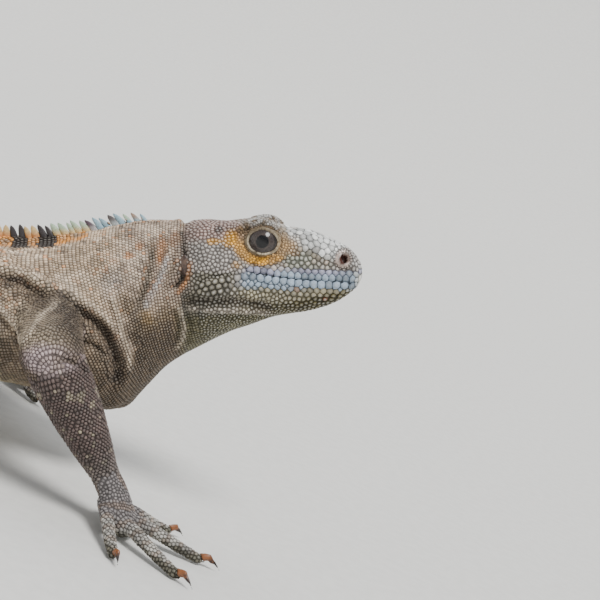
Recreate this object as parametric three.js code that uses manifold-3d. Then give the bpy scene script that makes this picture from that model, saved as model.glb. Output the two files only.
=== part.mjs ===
// A black spiny-tailed iguana (Ctenosaura similis) at life size, propped up on its forelegs.
//
// Millimetres. +X runs from the tail to the snout, +Y to the animal's left, +Z up.
// The floor is z = 0, and the origin lies on it under the middle of the belly.
// Every solid includes the thickness of the scales that cover it.

import * as THREE from 'three';
import { mergeVertices } from 'three/addons/utils/BufferGeometryUtils.js';
import Module from 'manifold-3d';

const wasm = await Module();
wasm.setup();

// ---- Driving sizes -------------------------------------------------------------------

const GAP = 0.35;                       // clearance between neighbouring pieces
// Facets round each length of the body, and its rings of vertices between two stations.
const HEAD_MESH = { sides: 16, rings: 1.1 };
const TRUNK_MESH = { sides: 15, rings: 1.8 };
const TAIL_MESH = { sides: 11, rings: 1.5 };

const FORE_PITCH = THREE.MathUtils.degToRad(24);        // how far the head is tipped up
const FORE_ORIGIN = new THREE.Vector3(169, 0, 99.5);    // mouth line below the eye

const TAIL_LENGTH = 575;
const TAIL_STATIONS = 15;
const TAIL_PIECES = 5;
const TAIL_SWAY = THREE.MathUtils.degToRad(24);         // steepest heading of the S-bend
const TAIL_TIP_RADIUS = 1.3;

const EYE_RADIUS = 7.3;
const EYE_CENTRE = [0.0, 8.2, 13.4];                    // fore frame, left eye
const EAR_CENTRE = [-28.4, 16.2, 6.0];                  // fore frame, left ear
const EAR_SIZE = [2.7, 1.4, 4.8];                       // half sizes: along, across, up

const WRIST_HEIGHT = 18.5;
const ANKLE_HEIGHT = 12;

const CREST_MARGIN = 3.2;               // from a piece's end to its nearest spine

const SKIN = { upper: 0x8f8672, head: 0x9a9c94, limb: 0x4b4038, belly: 0x857c66, tail: 0x5b5347 };
const HORN = 0x3a2a1c;

// ---- Solids from deformed three.js geometries ------------------------------------------

function toSolid(geometry) {
  const bare = geometry.clone();
  bare.deleteAttribute('normal');
  bare.deleteAttribute('uv');
  const merged = mergeVertices(bare, 1e-4);
  const corners = merged.index.array;
  const kept = [];
  for (let i = 0; i < corners.length; i += 3) {
    const [a, b, c] = [corners[i], corners[i + 1], corners[i + 2]];
    if (a !== b && b !== c && c !== a) kept.push(a, b, c);
  }
  return new wasm.Manifold(new wasm.Mesh({
    numProp: 3,
    vertProperties: Float32Array.from(merged.attributes.position.array),
    triVerts: Uint32Array.from(kept),
  }));
}

function toGeometry(solid) {
  const mesh = solid.getMesh();
  const geometry = new THREE.BufferGeometry();
  geometry.setAttribute('position', new THREE.BufferAttribute(mesh.vertProperties, 3));
  geometry.setIndex(new THREE.BufferAttribute(mesh.triVerts, 1));
  geometry.computeVertexNormals();
  return geometry;
}

function deform(geometry, move) {
  const position = geometry.attributes.position;
  const point = new THREE.Vector3();
  for (let i = 0; i < position.count; i += 1) {
    point.fromBufferAttribute(position, i);
    const moved = move(point);
    position.setXYZ(i, moved.x, moved.y, moved.z);
  }
  return geometry;
}

// A point of the raised fore body, given in its own level frame, x forward from the eye.
function fore(x, y, z) {
  return new THREE.Vector3(x, y, z)
    .applyAxisAngle(new THREE.Vector3(0, 1, 0), -FORE_PITCH)
    .add(FORE_ORIGIN);
}

const foreStation = (top, bottom, half, wide, full) =>
  ({ top: fore(top[0], 0, top[1]), bottom: fore(bottom[0], 0, bottom[1]), half, wide, full });

const bodyStation = (top, bottom, half, wide, full) => ({
  top: new THREE.Vector3(top[0], 0, top[1]),
  bottom: new THREE.Vector3(bottom[0], 0, bottom[1]),
  half, wide, full,
});

// ---- Axial body: one run of cross-sections from the snout to the tail tip ----------------
// Each station: top edge, bottom edge, half width, level of the widest point (0 bottom,
// 1 top), and fullness (2 is an ellipse, more is boxier).

const HEAD_STATIONS = [
  foreStation([38.6, 3.4], [38.4, -0.9], 1.6, 0.50, 2.0),
  foreStation([37.3, 6.6], [37.0, -3.5], 4.6, 0.50, 2.1),
  foreStation([33.4, 10.4], [33.0, -6.9], 7.2, 0.48, 2.3),
  foreStation([28.0, 13.0], [27.6, -10.4], 8.9, 0.46, 2.4),
  foreStation([21.0, 17.0], [20.6, -12.8], 10.4, 0.46, 2.4),
  foreStation([14.0, 18.6], [13.6, -14.1], 11.8, 0.46, 2.4),
  foreStation([7.0, 20.6], [6.6, -15.0], 12.9, 0.46, 2.4),
  foreStation([0.0, 22.6], [0.6, -16.9], 14.2, 0.46, 2.4),
  foreStation([-7.5, 22.6], [-5.4, -19.2], 16.4, 0.46, 2.3),
  foreStation([-15.0, 21.8], [-11.4, -21.0], 18.3, 0.47, 2.2),
  foreStation([-22.5, 22.8], [-17.4, -23.8], 18.8, 0.47, 2.2),
  foreStation([-30.0, 22.0], [-23.4, -27.2], 17.2, 0.47, 2.1),
];
const NECK_STATIONS = [
  foreStation([-38.0, 22.8], [-30.0, -30.6], 17.4, 0.48, 2.0),
  foreStation([-47.0, 22.3], [-37.5, -35.4], 20.4, 0.48, 2.0),
  foreStation([-57.5, 20.2], [-44.0, -41.6], 24.6, 0.47, 2.0),
];
const TRUNK_STATIONS = [
  foreStation([-69.0, 17.9], [-50.2, -48.6], 28.5, 0.47, 2.1),
  foreStation([-81.0, 16.0], [-57.0, -54.0], 31.5, 0.46, 2.1),
  bodyStation([69, 72.0], [97, 22.0], 34.5, 0.45, 2.1),
  bodyStation([42, 65.0], [64, 8.4], 37.0, 0.43, 2.1),
  bodyStation([6, 60.5], [21, -0.9], 39.0, 0.41, 2.2),
  bodyStation([-33, 57.0], [-24, -0.9], 37.0, 0.42, 2.3),
  bodyStation([-67, 51.5], [-64, -0.6], 30.0, 0.44, 2.2),
  bodyStation([-95, 44.5], [-95, -0.2], 23.0, 0.46, 2.1),
  bodyStation([-120, 37.0], [-121, -0.4], 17.4, 0.48, 2.0),
];

// The tail lies on the floor in a slow S and tapers to a whip.
function tailStations() {
  const stations = [];
  const step = TAIL_LENGTH / TAIL_STATIONS;
  let x = -121;
  let y = 0;
  for (let i = 1; i <= TAIL_STATIONS; i += 1) {
    const s = i / TAIL_STATIONS;
    const heading = TAIL_SWAY * Math.sin(2 * Math.PI * (s - 0.08));
    x -= step * Math.cos(heading);
    y += step * Math.sin(heading);
    const half = TAIL_TIP_RADIUS + 15.6 * (1 - s) ** 1.5;
    const height = 2.08 * half;
    stations.push({
      top: new THREE.Vector3(x, y, height - 0.3),
      bottom: new THREE.Vector3(x, y, -0.3),
      half, wide: 0.48, full: 2.0,
    });
  }
  return stations;
}

const STATIONS = [...HEAD_STATIONS, ...NECK_STATIONS, ...TRUNK_STATIONS, ...tailStations()];
const SPANS = STATIONS.length - 1;
const topEdge = new THREE.CatmullRomCurve3(STATIONS.map((s) => s.top));
const bottomEdge = new THREE.CatmullRomCurve3(STATIONS.map((s) => s.bottom));
const sectionShape = new THREE.CatmullRomCurve3(
  STATIONS.map((s) => new THREE.Vector3(s.half, s.wide * 20, s.full * 10)));

// The body's cross-section at station number u, which may lie between two stations.
function section(u) {
  const t = THREE.MathUtils.clamp(u / SPANS, 0, 1);
  const top = topEdge.getPoint(t);
  const bottom = bottomEdge.getPoint(t);
  const shape = sectionShape.getPoint(t);
  const run = topEdge.getTangent(t).add(bottomEdge.getTangent(t)).setZ(0).normalize();
  const side = new THREE.Vector3(run.y, -run.x, 0);
  return { top, bottom, side, half: shape.x, wide: shape.y / 20, full: shape.z / 10 };
}

// A point on the section: angle 0 on the left flank, a quarter turn on the back.
function onSection(cut, angle, reach, grow) {
  const up = cut.top.clone().sub(cut.bottom);
  const height = up.length();
  up.normalize();
  const power = 2 / cut.full;
  const across = Math.sign(Math.cos(angle)) * Math.abs(Math.cos(angle)) ** power;
  const along = Math.sign(Math.sin(angle)) * Math.abs(Math.sin(angle)) ** power;
  const rise = along > 0 ? (1 - cut.wide) * height + grow : cut.wide * height + grow;
  return cut.bottom.clone()
    .addScaledVector(up, cut.wide * height + reach * along * rise)
    .addScaledVector(cut.side, reach * across * (cut.half + grow));
}

// A length of the body between station numbers from and to, closed by flat ends.
function bodyLength(from, to, mesh = TRUNK_MESH, grow = 0) {
  const rings = Math.max(1, Math.round((to - from) * mesh.rings));
  const barrel = new THREE.CylinderGeometry(1, 1, 1, mesh.sides, rings);
  return toSolid(deform(barrel, (p) => {
    const u = from + (to - from) * (0.5 - p.y);
    return onSection(section(u), Math.atan2(p.x, p.z), Math.hypot(p.x, p.z), grow);
  }));
}

// The station number that lies the given distance behind station number u.
function behind(u, distance) {
  const a = section(u);
  const b = section(u + 0.1);
  const shorter = Math.min(a.top.distanceTo(b.top), a.bottom.distanceTo(b.bottom));
  return u + 0.1 * distance / shorter;
}

// ---- Capsules bent along a path, for limbs, palms and digits ------------------------------
// path: points from the root to the tip; radii: [across, up] at each of them.

function limb(path, radii, { sides, spans, caps = 2 }, grow = 0) {
  const line = new THREE.CatmullRomCurve3(path);
  const size = new THREE.CatmullRomCurve3(radii.map((r) => new THREE.Vector3(r[0], r[1], 0)));
  const capsule = new THREE.CapsuleGeometry(1, 2, caps, sides, spans);
  const world = new THREE.Vector3(0, 0, 1);
  return toSolid(deform(capsule, (p) => {
    const along = THREE.MathUtils.clamp((p.y + 1) / 2, 0, 1);
    const over = p.y - THREE.MathUtils.clamp(p.y, -1, 1);
    const run = line.getTangent(along);
    const side = new THREE.Vector3().crossVectors(run, world).normalize();
    const up = new THREE.Vector3().crossVectors(side, run);
    const r = size.getPoint(along);
    return line.getPoint(along)
      .addScaledVector(run, over * (Math.min(r.x, r.y) + grow))
      .addScaledVector(side, p.x * (r.x + grow))
      .addScaledVector(up, p.z * (r.y + grow));
  }));
}

function ball(centre, half, turns = [0, 0, 0], segments = 14) {
  const sphere = new THREE.SphereGeometry(1, segments, Math.round(segments * 0.7));
  sphere.rotateX(Math.PI / 2);
  sphere.scale(half[0], half[1], half[2]);
  sphere.rotateX(turns[0]);
  sphere.rotateZ(turns[2]);
  sphere.rotateY(turns[1] - FORE_PITCH);
  sphere.translate(centre.x, centre.y, centre.z);
  return toSolid(sphere);
}

// ---- Floor: whatever reaches it ends in a small flat at z = 0 ------------------------------

const FLOOR = toSolid(new THREE.BoxGeometry(1400, 600, 40).translate(-150, 0, -20));
const trim = (solid) => solid.subtract(FLOOR);

// ---- Scene ---------------------------------------------------------------------------------

const group = new THREE.Group();

// A cut can leave loose slivers beside a piece, so only its largest body is kept.
function largestBody(solid) {
  return solid.decompose().reduce((best, body) => (body.volume() > best.volume() ? body : best));
}

function place(name, solid, color, roughness = 0.75) {
  const material = new THREE.MeshStandardMaterial({ color, roughness, metalness: 0 });
  const mesh = new THREE.Mesh(toGeometry(largestBody(solid)), material);
  mesh.name = name;
  group.add(mesh);
}

const SIDES = [['left', 1], ['right', -1]];

// ---- Head ----------------------------------------------------------------------------------

// Station numbers at which the body is parted.
const HEAD_END = HEAD_STATIONS.length - 1.3;
const NECK_END = HEAD_STATIONS.length + NECK_STATIONS.length - 0.5;
const CHEST_END = NECK_END + 3.4;
const BELLY_END = CHEST_END + 2.2;
const PELVIS_END = BELLY_END + 2.4;
const CREST_START = NECK_END - 1.9;

// Region of the lower jaw: under the lip line, back to the hinge behind the mouth corner.
function jawRegion(gap) {
  const outline = new THREE.Shape();
  outline.moveTo(50, -1.8 + gap);
  outline.lineTo(19, -1.8 + gap);
  outline.lineTo(2, 0.2 + gap);
  outline.lineTo(-7, 0.8 + gap);
  outline.lineTo(-20 - gap, -4.5 + gap);
  outline.lineTo(-15 - gap, -40);
  outline.lineTo(50, -40);
  const slab = new THREE.ExtrudeGeometry(outline, { depth: 80, bevelEnabled: false });
  slab.translate(0, 0, -40);
  slab.rotateX(Math.PI / 2);
  slab.rotateY(-FORE_PITCH);
  slab.translate(FORE_ORIGIN.x, FORE_ORIGIN.y, FORE_ORIGIN.z);
  return toSolid(slab);
}

let skull = bodyLength(0, HEAD_END, HEAD_MESH);
for (const [, sign] of SIDES) {
  const brow = fore(0.5, sign * 9.2, 18.0);
  const jowl = fore(-17.0, sign * 12.4, -3.4);
  skull = skull.add(ball(brow, [9.4, 5.6, 6.0], [sign * -0.15, 0, sign * 0.16], 9));
  skull = skull.add(ball(jowl, [10.4, 7.9, 10.6], [0, 0, sign * 0.1], 10));
}
skull = skull.subtract(bodyLength(HEAD_END, NECK_END, TRUNK_MESH, GAP));
for (const [, sign] of SIDES) {
  const socket = fore(EYE_CENTRE[0], sign * EYE_CENTRE[1], EYE_CENTRE[2]);
  const drum = fore(EAR_CENTRE[0], sign * EAR_CENTRE[1], EAR_CENTRE[2]);
  const wide = EYE_RADIUS + GAP;
  skull = skull.subtract(ball(socket, [wide, wide, wide], [0, 0, 0], 12));
  skull = skull.subtract(ball(drum, EAR_SIZE.map((r) => r + GAP), [0, 0, 0], 8));
}
place('head', skull.subtract(jawRegion(GAP)), SKIN.head);
place('lower_jaw', skull.intersect(jawRegion(0)), SKIN.head);

let neck = bodyLength(behind(HEAD_END, GAP), NECK_END);
for (const [side, sign] of SIDES) {
  const eye = fore(EYE_CENTRE[0], sign * EYE_CENTRE[1], EYE_CENTRE[2]);
  const drum = fore(EAR_CENTRE[0], sign * EAR_CENTRE[1], EAR_CENTRE[2]);
  place(`eye_${side}`, ball(eye, [EYE_RADIUS, EYE_RADIUS, EYE_RADIUS], [0, 0, 0], 12), 0x2a1c12, 0.1);
  place(`ear_${side}`, ball(drum, EAR_SIZE, [0, 0, 0], 8), 0x6e5a4a, 0.5);
  neck = neck.subtract(ball(drum, EAR_SIZE.map((r) => r + GAP), [0, 0, 0], 8));
}

// ---- Crest: leaning spines along the back, joined to the length they grow from -------------

function spine(u, height) {
  const cut = section(u);
  const run = topEdge.getTangent(THREE.MathUtils.clamp(u / SPANS, 0, 1));
  const up = cut.top.clone().sub(cut.bottom).normalize();
  const cone = new THREE.ConeGeometry(1, 1, 4, 1);
  return toSolid(deform(cone, (p) => {
    const t = p.y + 0.5;
    const lean = 0.45 * height * t * t;
    return cut.top.clone()
      .addScaledVector(up, -1.0 + (height + 1.0) * t)
      .addScaledVector(run, lean + p.z * 0.40 * height)
      .addScaledVector(cut.side, -p.x * 0.85);
  }));
}

function withCrest(solid, from, to, count, firstHeight, lastHeight) {
  let crested = solid;
  for (let i = 0; i < count; i += 1) {
    const f = i / (count - 1);
    const height = THREE.MathUtils.lerp(firstHeight, lastHeight, f);
    crested = crested.add(spine(THREE.MathUtils.lerp(from, to, f), height));
  }
  return crested;
}

// ---- Neck, trunk and tail --------------------------------------------------------------------

const lengths = [
  { name: 'neck', solid: neck, from: behind(HEAD_END, GAP), to: NECK_END, spines: 6, tall: [3.2, 4.4] },
  { name: 'chest', from: behind(NECK_END, GAP), to: CHEST_END, spines: 21, tall: [4.4, 4.0] },
  { name: 'belly', from: behind(CHEST_END, GAP), to: BELLY_END, spines: 22, tall: [3.9, 2.6] },
  { name: 'pelvis', from: behind(BELLY_END, GAP), to: PELVIS_END, spines: 14, tall: [2.5, 1.7] },
];
const trunkPieces = [];
for (const part of lengths) {
  const from = part.name === 'neck' ? CREST_START : behind(part.from, CREST_MARGIN);
  const to = behind(part.to, -CREST_MARGIN);
  const bare = part.solid ?? bodyLength(part.from, part.to);
  trunkPieces.push({
    name: part.name,
    solid: trim(withCrest(bare, from, to, part.spines, part.tall[0], part.tall[1])),
    color: part.name === 'belly' ? SKIN.belly : SKIN.upper,
  });
}
for (let i = 0; i < TAIL_PIECES; i += 1) {
  const span = (SPANS - PELVIS_END) / TAIL_PIECES;
  const from = behind(PELVIS_END + i * span, GAP);
  trunkPieces.push({
    name: `tail_${i + 1}`,
    solid: trim(bodyLength(from, PELVIS_END + (i + 1) * span, TAIL_MESH)),
    color: SKIN.tail,
  });
}

// ---- Limbs -------------------------------------------------------------------------------------
// Joint positions are for the side named; the two sides stand differently.

const point = (x, y, z) => new THREE.Vector3(x, y, z);

const LEGS = [
  {
    side: 'right', pair: 'fore', root: point(101, -20, 55), bend: point(113.5, -61, 51),
    end: point(147, -57, WRIST_HEIGHT), heading: -10,
  },
  {
    side: 'left', pair: 'fore', root: point(99, 20, 55), bend: point(67, 53, 55),
    end: point(78, 66, WRIST_HEIGHT), heading: 48,
  },
  {
    side: 'right', pair: 'hind', root: point(-86, -15, 29), bend: point(-55, -62, 34),
    end: point(-102, -80, ANKLE_HEIGHT), heading: -38,
  },
  {
    side: 'left', pair: 'hind', root: point(-86, 15, 29), bend: point(-62, 63, 36),
    end: point(-113, 80, ANKLE_HEIGHT), heading: 30,
  },
];

const BUILD = {
  fore: {
    names: ['upper_arm', 'forearm', 'hand'],
    upper: [[12.5, 13.5], [12.2, 12.6], [11.8, 11.8]],
    lower: [[11.6, 11.4], [11.2, 10.8], [8.6, 8.2], [5.8, 5.4]],
    palm: { reach: 15, half: [5.6, 7.6, 8.8], deep: [5.3, 4.9, 3.9] },
    digits: [
      { turn: 80, start: 7, side: 3.6, length: 15, radius: 2.3, claw: 6.2 },
      { turn: 48, start: 11, side: 4.4, length: 23, radius: 2.4, claw: 7.4 },
      { turn: 16, start: 13, side: 2.0, length: 31, radius: 2.4, claw: 8.0 },
      { turn: -20, start: 12, side: -2.4, length: 32, radius: 2.4, claw: 7.8 },
      { turn: -54, start: 9, side: -4.0, length: 23, radius: 2.3, claw: 6.8 },
    ],
  },
  hind: {
    names: ['thigh', 'shin', 'foot'],
    upper: [[15.5, 16.0], [15.0, 15.0], [11.6, 11.6]],
    lower: [[11.0, 10.8], [11.4, 11.0], [7.6, 7.4], [6.0, 5.6]],
    palm: { reach: 27, half: [6.2, 8.2, 9.4], deep: [6.2, 5.4, 4.0] },
    digits: [
      { turn: 50, start: 15, side: 5.0, length: 20, radius: 2.5, claw: 6.6 },
      { turn: 26, start: 22, side: 5.0, length: 31, radius: 2.6, claw: 7.6 },
      { turn: 6, start: 25, side: 1.6, length: 45, radius: 2.6, claw: 8.2 },
      { turn: -15, start: 25, side: -3.0, length: 58, radius: 2.6, claw: 8.2 },
      { turn: -62, start: 9, side: -4.6, length: 34, radius: 2.5, claw: 7.2 },
    ],
  },
};

const KNUCKLE_HEIGHT = 4.8;            // height of the palm's front end
const ARCH = 2.0;                      // how far a digit rises before it comes down
const PAD_HEIGHT = 2.1;                // height of a digit's axis over the floor at its tip

function digitPath(end, heading, sign, digit, reach) {
  const ahead = point(Math.cos(heading), Math.sin(heading), 0);
  const across = point(-Math.sin(heading), Math.cos(heading), 0).multiplyScalar(-sign);
  const turn = heading - sign * THREE.MathUtils.degToRad(digit.turn);
  const out = point(Math.cos(turn), Math.sin(turn), 0);
  const rootHeight = THREE.MathUtils.lerp(end.z, KNUCKLE_HEIGHT, Math.min(1, digit.start / reach));
  const root = end.clone().setZ(rootHeight)
    .addScaledVector(ahead, digit.start - 4)
    .addScaledVector(across, digit.side);
  const along = (part, height) => root.clone()
    .addScaledVector(out, 4 + digit.length * part)
    .setZ(height);
  return {
    out,
    path: [
      root,
      along(0.14, (rootHeight + KNUCKLE_HEIGHT + ARCH) / 2),
      along(0.48, KNUCKLE_HEIGHT),
      along(0.8, 3.1),
      along(1, PAD_HEIGHT),
    ],
  };
}

function buildFoot(leg, shape, grow) {
  const sign = leg.side === 'left' ? 1 : -1;
  const heading = THREE.MathUtils.degToRad(leg.heading);
  const ahead = point(Math.cos(heading), Math.sin(heading), 0);
  const { reach, half, deep } = shape.palm;
  const palmPath = [
    leg.end.clone(),
    leg.end.clone().addScaledVector(ahead, reach * 0.5).setZ((leg.end.z + 5) * 0.52),
    leg.end.clone().addScaledVector(ahead, reach).setZ(KNUCKLE_HEIGHT - 0.4),
  ];
  let foot = limb(palmPath, half.map((w, i) => [w, deep[i]]), { sides: 9, spans: 3 }, grow);
  for (const digit of shape.digits) {
    const r = digit.radius;
    const { path } = digitPath(leg.end, heading, sign, digit, reach);
    const radii = [[r + 0.6, r + 0.6], [r + 0.4, r + 0.3], [r, r], [r, r - 0.1], [r - 0.3, r - 0.4]];
    foot = foot.add(limb(path, radii, { sides: 6, spans: 3, caps: 1 }, grow));
  }
  return foot;
}

// A hooked claw that starts inside the digit's tip and curves down to just over the floor.
function claw(leg, digit) {
  const sign = leg.side === 'left' ? 1 : -1;
  const heading = THREE.MathUtils.degToRad(leg.heading);
  const { path, out } = digitPath(leg.end, heading, sign, digit, BUILD[leg.pair].palm.reach);
  const tip = path[path.length - 1];
  const side = point(out.y, -out.x, 0);
  const hook = new THREE.ConeGeometry(1, 1, 4, 3);
  return toSolid(deform(hook, (p) => {
    const t = p.y + 0.5;
    const height = PAD_HEIGHT + 0.9 + 1.5 * Math.sin(Math.PI * Math.min(1, t * 1.15)) - 2.6 * t * t;
    return tip.clone()
      .addScaledVector(out, digit.claw * t * (1.18 - 0.18 * t))
      .addScaledVector(side, p.x * 1.15 * (1 - 0.25 * t))
      .setZ(Math.max(height + p.z * 1.55, 0.25));
  }));
}

const trunkCutter = bodyLength(HEAD_END + 1, PELVIS_END + 1.5, TRUNK_MESH, GAP);
for (const leg of LEGS) {
  const shape = BUILD[leg.pair];
  const [upperName, lowerName, footName] = shape.names;
  const upperPath = [leg.root, leg.root.clone().lerp(leg.bend, 0.5), leg.bend];
  const lowerPath = [leg.bend, leg.bend.clone().lerp(leg.end, 0.33), leg.bend.clone().lerp(leg.end, 0.7),
    leg.end];
  const upper = (grow) => limb(upperPath, shape.upper, { sides: 10, spans: 3 }, grow);
  const lower = (grow) => limb(lowerPath, shape.lower, { sides: 10, spans: 4 }, grow);
  place(`${upperName}_${leg.side}`, upper(0).subtract(trunkCutter), SKIN.limb);
  place(`${lowerName}_${leg.side}`, lower(0).subtract(upper(GAP)).subtract(trunkCutter), SKIN.limb);
  const foot = trim(buildFoot(leg, shape, 0).subtract(lower(GAP)));
  place(`${footName}_${leg.side}`, foot, SKIN.limb);
  const footCutter = buildFoot(leg, shape, GAP);
  shape.digits.forEach((digit, i) => {
    place(`claw_${leg.pair}_${leg.side}_${i + 1}`, claw(leg, digit).subtract(footCutter), HORN, 0.4);
  });
}
for (const piece of trunkPieces) place(piece.name, piece.solid, piece.color);

export default group;
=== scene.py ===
"""The looks of a black spiny-tailed iguana (Ctenosaura similis), a still model at life size.

One skin is drawn over the flesh solids and sculpted with folds and eyelids. Solid scales, each
a small closed shape, lie over it in rows. Eyes, eardrums, claws and crest spines are pieces of
their own. Sizes are in millimetres; MM turns them into the metres of the frame.
"""

import math

import bmesh
import bpy
import numpy as np
from mathutils import Matrix, Vector
from mathutils.bvhtree import BVHTree
from mathutils.kdtree import KDTree


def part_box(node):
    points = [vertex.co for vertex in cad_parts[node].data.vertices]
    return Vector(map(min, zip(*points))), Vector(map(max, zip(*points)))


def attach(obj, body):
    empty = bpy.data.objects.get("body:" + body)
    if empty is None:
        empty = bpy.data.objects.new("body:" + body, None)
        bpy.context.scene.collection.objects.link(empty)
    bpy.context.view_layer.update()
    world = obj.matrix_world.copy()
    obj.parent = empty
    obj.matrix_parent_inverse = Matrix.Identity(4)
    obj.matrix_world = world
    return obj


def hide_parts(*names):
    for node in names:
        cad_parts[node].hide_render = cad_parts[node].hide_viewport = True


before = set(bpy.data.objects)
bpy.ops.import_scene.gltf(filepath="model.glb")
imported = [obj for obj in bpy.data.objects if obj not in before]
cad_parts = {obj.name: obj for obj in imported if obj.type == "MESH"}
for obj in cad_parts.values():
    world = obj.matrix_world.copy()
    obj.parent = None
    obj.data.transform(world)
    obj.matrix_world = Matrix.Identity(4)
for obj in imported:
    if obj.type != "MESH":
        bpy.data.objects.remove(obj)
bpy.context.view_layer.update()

MM = 0.001


# ---- The raised fore body has its own level frame: x forward from the eye, z up ----

FORE_PITCH = math.radians(24)
FORE_ORIGIN = np.array([169.0, 0.0, 99.5])
FORE_AHEAD = np.array([math.cos(FORE_PITCH), 0.0, math.sin(FORE_PITCH)])
FORE_UP = np.array([-math.sin(FORE_PITCH), 0.0, math.cos(FORE_PITCH)])


def to_fore(points):
    """Points of the frame, in mm, as (forward, left, up) of the fore body."""
    offset = points - FORE_ORIGIN
    return np.stack([offset @ FORE_AHEAD, offset[:, 1], offset @ FORE_UP], axis=1)


def from_fore(points):
    """The reverse of to_fore."""
    points = np.asarray(points, float)
    return (FORE_ORIGIN + points[:, :1] * FORE_AHEAD + points[:, 1:2] * np.array([0, 1, 0])
            + points[:, 2:3] * FORE_UP)


# ---- Parts of the animal ----

SIDES = {"left": 1, "right": -1}
TAIL = [f"tail_{i}" for i in range(1, 6)]
TRUNK = ["neck", "chest", "belly", "pelvis"]
LIMBS = [f"{part}_{side}" for side in SIDES
         for part in ("upper_arm", "forearm", "hand", "thigh", "shin", "foot")]
EYES = [f"eye_{side}" for side in SIDES]
EARS = [f"ear_{side}" for side in SIDES]
FLESH = ["head", "lower_jaw"] + TRUNK + TAIL + LIMBS
# The eyes and eardrums fill their hollows while the skin is drawn over the solids.
BODY = FLESH + EYES + EARS
PART = {name: number for number, name in enumerate(BODY)}
HEAD = ["head", "lower_jaw"] + EYES + EARS
UPPER_ARMS = ["upper_arm_left", "upper_arm_right"]
UPPER_KINDS = ("upper_arm", "thigh")
FOOT_KINDS = ("hand", "foot")

EYE_RADIUS = 7.3

COAT_DEPTH = 0.32  # the scales' thickness, by which the skin lies inside the solids

# How far, in mm, the facets of each solid are smoothed away.
SOFTNESS = {
    "head": 2.3, "lower_jaw": 2.3, "eye": 1.6, "ear": 2.3, "neck": 4.0, "chest": 6.0, "belly": 6.0,
    "pelvis": 5.0, "tail_1": 4.0, "tail_2": 3.2, "tail_3": 2.4, "tail_4": 1.6, "tail_5": 0.9,
    "upper_arm": 3.4, "forearm": 2.6, "hand": 0.85, "thigh": 3.8, "shin": 2.6, "foot": 0.85,
}


def kind(name):
    """A part's name without its side."""
    return name.replace("_left", "").replace("_right", "")


def among(parts, names):
    """True where a part number is one of the named parts."""
    return np.isin(parts, [PART[name] for name in names])


def part_mask(parts, names):
    """1 on the named parts and 0 elsewhere."""
    return among(parts, names).astype(float)


def by_kind(table, parts):
    """Each part number's value in a table that goes by kind."""
    return np.array([table[kind(name)] for name in BODY])[parts]


# ---- Small tools ----

def ease(low, high, value):
    """0 below low, 1 above high, and a smooth step between them."""
    t = np.clip((value - low) / (high - low), 0, 1)
    return t * t * (3 - 2 * t)


def bump(value, centre, width):
    """A bell round a centre, 1 at its top."""
    return np.exp(-((value - centre) / width) ** 2)


def unit(vector):
    return vector / np.linalg.norm(vector)


def unit_rows(vectors):
    return vectors / np.linalg.norm(vectors, axis=1)[:, None]


def mix(a, b, share):
    """a where share is 0 and b where it is 1, for colours in rows."""
    return a + (b - a) * np.asarray(share)[..., None]


def lattice_noise(points, size, seed=0):
    """Smooth value noise from -1 to 1 with lumps of the given size."""
    scaled = points / size
    cell = np.floor(scaled).astype(np.int64)
    part = scaled - cell
    part = part * part * (3 - 2 * part)
    total = np.zeros(len(points))
    for corner in range(8):
        step = np.array([corner & 1, corner >> 1 & 1, corner >> 2 & 1])
        at = cell + step
        code = at[:, 0] * 73856093 ^ at[:, 1] * 19349663 ^ at[:, 2] * 83492791 ^ (seed + 7) * 40503
        code = (code ^ code >> 13) * 1274126177 & 0x7FFFFFFF
        code = (code ^ code >> 15) * 1103515245 & 0x7FFFFFFF
        weight = np.prod(np.where(step == 1, part, 1 - part), axis=1)
        total += weight * ((code >> 7 & 0xFFFF) / 32767.5 - 1)
    return total


def smooth_line(points, steps=9):
    """A given run of points as a fine smooth line through them."""
    knots = np.asarray(points, float)
    ends = np.vstack([2 * knots[0] - knots[1], knots, 2 * knots[-1] - knots[-2]])
    line = [knots[:1]]
    t = np.linspace(0, 1, steps + 1)[1:, None]
    for i in range(len(knots) - 1):
        a, b, c, d = ends[i:i + 4]
        line.append(0.5 * (2 * b + (c - a) * t + (2 * a - 5 * b + 4 * c - d) * t ** 2
                           + (3 * b - a - 3 * c + d) * t ** 3))
    return np.vstack(line)


def lengths_along(line):
    """The length of a line up to each of its points."""
    return np.concatenate([[0], np.cumsum(np.linalg.norm(np.diff(line, axis=0), axis=1))])


def near_line(flat, line):
    """Signed distance of flat points to a line (left of its run is positive), and the share of
    its length at which each comes nearest."""
    best = np.full(len(flat), np.inf)
    signed = np.zeros(len(flat))
    share = np.zeros(len(flat))
    starts = lengths_along(line)
    for i, length in enumerate(np.linalg.norm(np.diff(line, axis=0), axis=1)):
        run = (line[i + 1] - line[i]) / length
        offset = flat - line[i]
        along = np.clip(offset @ run, 0, length)
        away = offset - along[:, None] * run
        distance = np.hypot(away[:, 0], away[:, 1])
        nearer = distance < best
        best[nearer] = distance[nearer]
        side = np.sign(run[0] * offset[:, 1] - run[1] * offset[:, 0])
        signed[nearer] = (distance * side)[nearer]
        share[nearer] = ((starts[i] + along) / starts[-1])[nearer]
    return signed, share


# ---- Meshes as arrays ----

def coordinates(mesh):
    """A mesh's vertices in mm."""
    values = np.empty(len(mesh.vertices) * 3)
    mesh.vertices.foreach_get("co", values)
    return values.reshape(-1, 3) / MM


def set_coordinates(mesh, points):
    mesh.vertices.foreach_set("co", (points * MM).ravel())
    mesh.update()


def vertex_normals(mesh):
    values = np.empty(len(mesh.vertices) * 3, np.float32)
    mesh.vertex_normals.foreach_get("vector", values)
    return values.reshape(-1, 3).astype(float)


def edge_pairs(mesh):
    values = np.empty(len(mesh.edges) * 2, np.int32)
    mesh.edges.foreach_get("vertices", values)
    return values.reshape(-1, 2)


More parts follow.
